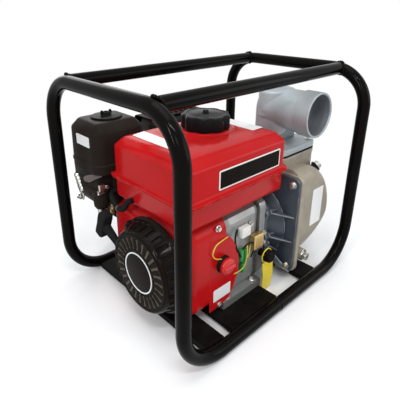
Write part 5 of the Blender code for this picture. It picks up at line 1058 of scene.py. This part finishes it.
# the upright drum is flattened behind
riserSquash = np.column_stack([np.ones(96), np.where(np.sin(fullTurn(96)) > 0, 0.62, 1.0)])
riserRings = [levelRing(roundSection(r, 96) * riserSquash, h) for r, h in softened(elbow["riser"], 0.003)]
elbowShells.append(put(skin(riserRings), elbowSpot))
elbowShells.append(spun(elbow["pipe"], 0.0008, 96, mouthSpot, "front"))
elbowShells.append(spun(elbow["boss"], 0.001, 48, (neckX, shaftY, elbow["bossZ"])))
makePiece("dischargeElbow", elbowShells, castSilver, stands="discharge_elbow", crease=36.0)
makePiece("dischargeBand", [spun(elbow["band"], 0.0006, 120, mouthSpot, "front", True)], bandSilver)
# the bore inside the mouth is darkened with painted shade
makePiece("dischargeBore", [put(lathe(elbow["bore"], 96), mouthSpot, "front")], borePaintedShade)
gasketShell = put(stacked(0.0645, 0.0735, 0.0206, eased(0.2778, 0.2808, 0.0006), 8), neckSpot)
makePiece("dischargeGasket", [gasketShell], rubberBlack, stands="discharge_gasket")
primingBolt = bolt((neckX, shaftY, 0.4081), (0, 0, 1), 0.02, False)
makePiece("primingPlug", [primingBolt], castSilver, body="prime_plug", stands="priming_plug")

# suction flange with its hose stub
suction = dict(
    side=(suctionHigh[1] - suctionLow[1]) / 2, corner=0.016, hole=0.0368, finer=12,
    stub=[(0.0372, 0.004), (0.05, 0.006), (0.0456, 0.012), (0.045, 0.017), (0.0452, 0.0222),
          (0.044, 0.0224), (0.0372, 0.0224)],
    bore=[(0.0364, 0.0004), (0.0371, 0.0004), (0.0371, 0.022), (0.0364, 0.022)],
)
suctionSpot = suctionMiddle + (suctionLow[0], 0, 0)
plateRim = roundedRing(suction["side"], suction["side"], suction["corner"], 6)
rimCount = len(plateRim)
rimMarks = np.linspace(0, rimCount, suction["finer"] * rimCount, endpoint=False)
plateRim = np.column_stack(
    [np.interp(rimMarks, np.arange(rimCount + 1), np.append(part, part[0])) for part in plateRim.T])
plateHole = suction["hole"] * plateRim / np.hypot(plateRim[:, :1], plateRim[:, 1:])
plateRows = ((plateRim * 0.985, 0.0), (plateRim, 0.0015), (plateRim, 0.0075), (plateRim * 0.985, 0.009),
             (plateHole, 0.009), (plateHole, 0.0))
suctionPlate = put(skin([levelRing(flat, w) for flat, w in plateRows], around=True), suctionSpot, "right")
stubShell = spun(suction["stub"], 0.001, 96, suctionSpot, "right", True)
makePiece("suctionFlange", [suctionPlate, stubShell], castSilver, stands="suction_flange")
# the suction bore is darkened with painted shade
makePiece("suctionBore", [put(lathe(suction["bore"], 72, around=True), suctionSpot, "right")], borePaintedShade)
print("elbow and flanges done")

# stop switch, oil filler cap, warning box and regulator

switchLow, switchHigh = np.array(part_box("stop_switch_body"))
switchSpot = (switchLow + switchHigh) / 2
switchSpot[1] = switchHigh[1]
switchProfile = [(0.002, 0.0), (0.017, 0.0), (0.017, 0.003), (0.016, 0.0045), (0.015, 0.0078),
                 (0.011, 0.008), (0.002, 0.0078)]
switchShell = spun(switchProfile, 0.001, 64, switchSpot, "front")
makePiece("stopSwitchBody", [switchShell], mouldedBlack, stands="stop_switch_body")
knobProfile = [(0.002, 0.0), (0.016, 0.0), (0.0172, 0.0035), (0.0165, 0.0075), (0.012, 0.0098),
               (0.002, 0.01)]
knobShells = [spun(knobProfile, 0.0016, 64, switchSpot + (0, -0.0083, 0), "front"),
              put(block((0.028, 0.009, 0.0118), 0.0022), switchSpot + (0, -0.009, 0), "front")]
makePiece("stopSwitchKnob", knobShells, knobRed, body="stop_knob", stands="stop_switch_knob")

# oil filler cap: a turned cap whose rim is scalloped as the upper half of a cosine
faceY = -0.1103
oilCap = dict(spot=(0.0273, faceY, 0.088), lobes=10, bite=0.0008, sides=160, rows=[
    # radius, height, share of the bite
    (0.0078, 0.0, 0), (0.0078, 0.0145, 0), (0.0124, 0.015, 1), (0.013, 0.0165, 1), (0.013, 0.025, 1),
    (0.0122, 0.0285, 1), (0.0105, 0.0298, 0.3), (0.002, 0.0292, 0),
])
oilWave = oilCap["bite"] * np.maximum(0, np.cos(oilCap["lobes"] * fullTurn(oilCap["sides"])))
oilRings = [levelRing(roundSection(r - oilWave * share, oilCap["sides"]), h)
            for r, h, share in oilCap["rows"]]
oilShell = put(skin(oilRings), oilCap["spot"], "front")
makePiece("oilFillerCap", [oilShell], mouldedBlack, body="oil_cap", stands="oil_filler_cap")

sensorShells = [put(block((0.025, 0.021, 0.012), 0.0016), (-0.0355, faceY, 0.165), "front"),
                put(block((0.011, 0.013, 0.0024), 0.0008), (-0.0355, -0.1205, 0.165), "front")]
makePiece("oilAlertBox", sensorShells, whitePlastic, stands="oil_alert_unit")
regulatorShells = [put(block((0.029, 0.032, 0.013), 0.0018), (0.004, faceY, 0.128), "front")]
regulatorShells += [put(block((0.002, 0.02, 0.0016), 0.0006), (0.004 + dx, -0.1229, 0.128), "front")
                    for dx in (-0.007, -0.0023, 0.0023, 0.007)]
makePiece("regulatorBox", regulatorShells, yellowZinc, stands="charging_regulator")

# fuel hose: one smooth bow from the tank wall to the carburettor
hoseRoute = flowing(
    [(-0.1926, 0.02, 0.234), (-0.2016, 0.022, 0.232), (-0.205, 0.0344, 0.2148), (-0.20325, 0.0584, 0.21),
     (-0.19475, 0.087, 0.22375), (-0.169, 0.087, 0.2255), (-0.1243, 0.087, 0.1963),
     (-0.1088, 0.0909, 0.1823), (-0.1088, 0.0944, 0.1823)], 10)
clipProfile = [(0.005, -0.0025), (0.0063, -0.0025), (0.0063, 0.0025), (0.005, 0.0025)]
clipShells = [
    spun(clipProfile, 0.0004, 32, hoseRoute[k], turnTo(hoseRoute[k + 1] - hoseRoute[k - 1]), True)
    for k in (27, len(hoseRoute) - 12)]
makePiece("hoseClips", clipShells, castIron)
makePiece("fuelHose", [swept(hoseRoute, roundSection(0.0055, 20))], rubberBlack, stands="fuel_hose")

# wires, connectors and the hanging tag
wireRoutes = dict(
    yellowLoop=(wireYellow, 0.0011, [
        (-0.086, -0.1196, 0.176), (-0.105, -0.1225, 0.1765), (-0.122, -0.124, 0.174), (-0.13, -0.124, 0.16),
        (-0.122, -0.1235, 0.147), (-0.106, -0.1225, 0.1385), (-0.099, -0.1215, 0.134)]),
    yellowFall=(wireYellow, 0.001, [
        (-0.028, -0.118, 0.134), (-0.03, -0.1215, 0.12), (-0.034, -0.1225, 0.1), (-0.042, -0.1225, 0.088),
        (-0.058, -0.1205, 0.084), (-0.066, -0.1188, 0.084)]),
    yellowBranch=(wireYellow, 0.001, [
        (-0.016, -0.1165, 0.126), (-0.024, -0.121, 0.112), (-0.032, -0.1222, 0.106)]),
    blackOver=(rubberBlack, 0.0018, [
        (-0.056, -0.115, 0.176), (-0.064, -0.118, 0.16), (-0.06, -0.12, 0.136), (-0.048, -0.1185, 0.118),
        (-0.04, -0.116, 0.104)]),
    blackBow=(rubberBlack, 0.0016, [
        (-0.04, -0.114, 0.12), (-0.028, -0.119, 0.134), (-0.012, -0.12, 0.13), (-0.004, -0.118, 0.114),
        (-0.01, -0.115, 0.094)]),
)
for wireName, (wireFinish, wireRadius, wirePoints) in wireRoutes.items():
    makePiece(wireName + "Wire", [swept(flowing(wirePoints, 8), roundSection(wireRadius, 10))], wireFinish)
plugShells = []
for plugX, plugZ, plugLong in ((-0.041, 0.113, 0.024), (-0.027, 0.108, 0.028), (-0.034, 0.082, 0.02)):
    plugProfile = [(0.001, 0.0), (0.0052, 0.0), (0.0056, plugLong * 0.4), (0.0048, plugLong),
                   (0.001, plugLong)]
    plugShells.append(spun(plugProfile, 0.001, 24, (plugX, -0.115, plugZ - plugLong / 2)))
makePiece("wirePlugs", plugShells, wireGreen)

# the tag is a thin card that bows outwards as half a sine
tag = dict(length=0.07, width=0.036, loop=0.015, loopY=-0.127, y=-0.128, bow=0.003, thick=0.0008)
oilMiddle = np.array(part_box("oil_filler_cap")).mean(0)
loopFlat = roundSection(tag["loop"], 48) + (oilMiddle[0], oilMiddle[2] - 0.001)
tagLoop = np.column_stack([loopFlat[:, 0], np.full(48, tag["loopY"]), loopFlat[:, 1]])
makePiece("tagLoop", [swept(tagLoop, roundSection(0.0013, 10), around=True)], tagYellow)
tagU, tagV = np.meshgrid(np.linspace(-0.5, 0.5, 9), np.linspace(0, 1, 17), indexing="ij")
tagX = oilMiddle[0] + 0.003 + tagU * tag["width"]
tagZ = oilMiddle[2] - tag["loop"] - tagV * tag["length"]
tagY = tag["y"] - tag["bow"] * np.sin(tagV * math.pi) + 0.0016 * tagU
tagFront = np.stack([tagX, tagY, tagZ], -1)
tagEdge = np.concatenate([tagFront[0], tagFront[1:, -1], tagFront[-1, ::-1][1:], tagFront[::-1, 0][1:-1]])
makePiece("hangTag", [skin(np.stack([tagEdge, tagEdge + (0, tag["thick"], 0)]))], tagYellow)

# a blank label on the shroud
blankPlate("shroudLabel", 0.046, 0.026, 0.0015, 0.0005, (-0.098, -0.1196, 0.0605))
print("fittings done")

# bolts, set in rows by face: axis, size and spots

coverX = flangeLow[0] - 0.0035
boltRows = [
    ((1, 0, 0), 0.01, [suctionSpot + (0.009, 0.043 * a, 0.043 * b) for a, b in fourCorners]),
    ((0, 0, 1), 0.01, [(neckX + 0.051 * a, shaftY + 0.06 * b, 0.2943) for a, b in fourCorners]),
    ((-1, 0, 0), 0.011, [(flangeHigh[0] - 0.0085, flangeMiddle[1] + 0.101 * a, flangeMiddle[2] + 0.094 * b)
                         for a, b in fourCorners]),
    ((0, 0, 1), 0.012, [(x, y, 0.0344) for x in (-0.08, 0.002) for y in (-0.112, 0.068)]),
    ((0, -1, 0), 0.008, [(-0.113, -0.119, 0.203), (-0.104, -0.119, 0.0335), (-0.0125, -0.111, 0.17),
                         (coverX, -0.111, 0.1315), (coverX, -0.111, 0.1105)]),
]
boltShells = [bolt(spot, axis, size) for axis, size, spots in boltRows for spot in spots]
makePiece("frameBolts", boltShells, zincSteel)
shoulder = dict(spot=np.array([0.1825, -0.118, 0.2305]), axis=np.array([0.82, -0.25, 0.515]), reach=0.011,
                boss=[(0.001, -0.018), (0.0098, -0.018), (0.0092, 0.011), (0.001, 0.0112)])
shoulderShell = spun(shoulder["boss"], 0.001, 32, shoulder["spot"], turnTo(shoulder["axis"]))
makePiece("shoulderBoss", [shoulderShell], glossBlack)
shoulderBolt = bolt(shoulder["spot"] + shoulder["axis"] * shoulder["reach"], shoulder["axis"], 0.0155)
makePiece("shoulderPlug", [shoulderBolt], zincSteel)
drainBolt = bolt((0.1306, -0.1488, 0.052), (0, -1, 0), 0.0165)
makePiece("pumpDrainPlug", [drainBolt], zincSteel, body="drain_plug", stands="pump_drain_plug")
print("bolts done")

# finishes for the solids that stay

nodeFinish = {}
for finish, names in (
    (baseBlack, "cross_plate_left engine_plate pump_plate"),
    (engineGrey, "crankcase crankcase_cover"),
    (castSilver, "cylinder_head carburettor piston connecting_rod"),
    (zincSteel, "carburettor_bowl throttle_lever"),
    (hotIron, "exhaust_pipe"),
    (groundSteel, "crankshaft_flywheel_half crankshaft_pump_half main_bearing_front main_bearing_rear"),
    (groundSteel, "spark_plug starter_cup"),
    (rubberBlack, "spark_plug_cap mechanical_seal suction_gasket check_flap"),
    (glossBlack, "choke_lever fuel_tap_lever"),
    (castIron, "flywheel ignition_coil impeller inner_volute"),
    (mouldedBlack, "recoil_reel"),
    (filterFoam, "air_filter_element"),
):
    nodeFinish.update(dict.fromkeys(names.split(), finish))
for nodeName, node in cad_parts.items():
    if node.hide_render:
        continue
    node.data.materials.clear()
    node.data.materials.append(nodeFinish[nodeName])
print("solids finished:", len(nodeFinish))

# pale floor that fades out away from the pump

floorCells = 12
floorSide = np.linspace(-3.0, 3.0, floorCells + 1)
floorX, floorY = np.meshgrid(floorSide, floorSide, indexing="ij")
floorPoints = np.stack([floorX, floorY, 0 * floorX - 0.0002], -1).reshape(-1, 3)
cellI, cellJ = np.meshgrid(np.arange(floorCells), np.arange(floorCells), indexing="ij")
corner = cellI * (floorCells + 1) + cellJ
beyond = corner + floorCells + 1
floorFaces = np.stack([corner, beyond, beyond + 1, corner + 1], -1).reshape(-1, 4)
floorMesh = bpy.data.meshes.new("paleFloor")
floorMesh.from_pydata(floorPoints.tolist(), [], floorFaces.tolist())
floorMesh.materials.append(floorPale)
floorTree = floorPale.node_tree
floorPlace = addNode(floorTree, "ShaderNodeTexCoord").outputs["Object"]
floorReach = addNode(floorTree, "ShaderNodeVectorMath", {0: floorPlace}, operation="LENGTH")
floorFade = ramped(floorTree, floorReach.outputs["Value"], 0.62, 0.4)
floorTree.links.new(floorFade, floorTree.nodes["Principled BSDF"].inputs["Alpha"])
floor = addObject("paleFloor", floorMesh)

print("scene ready")
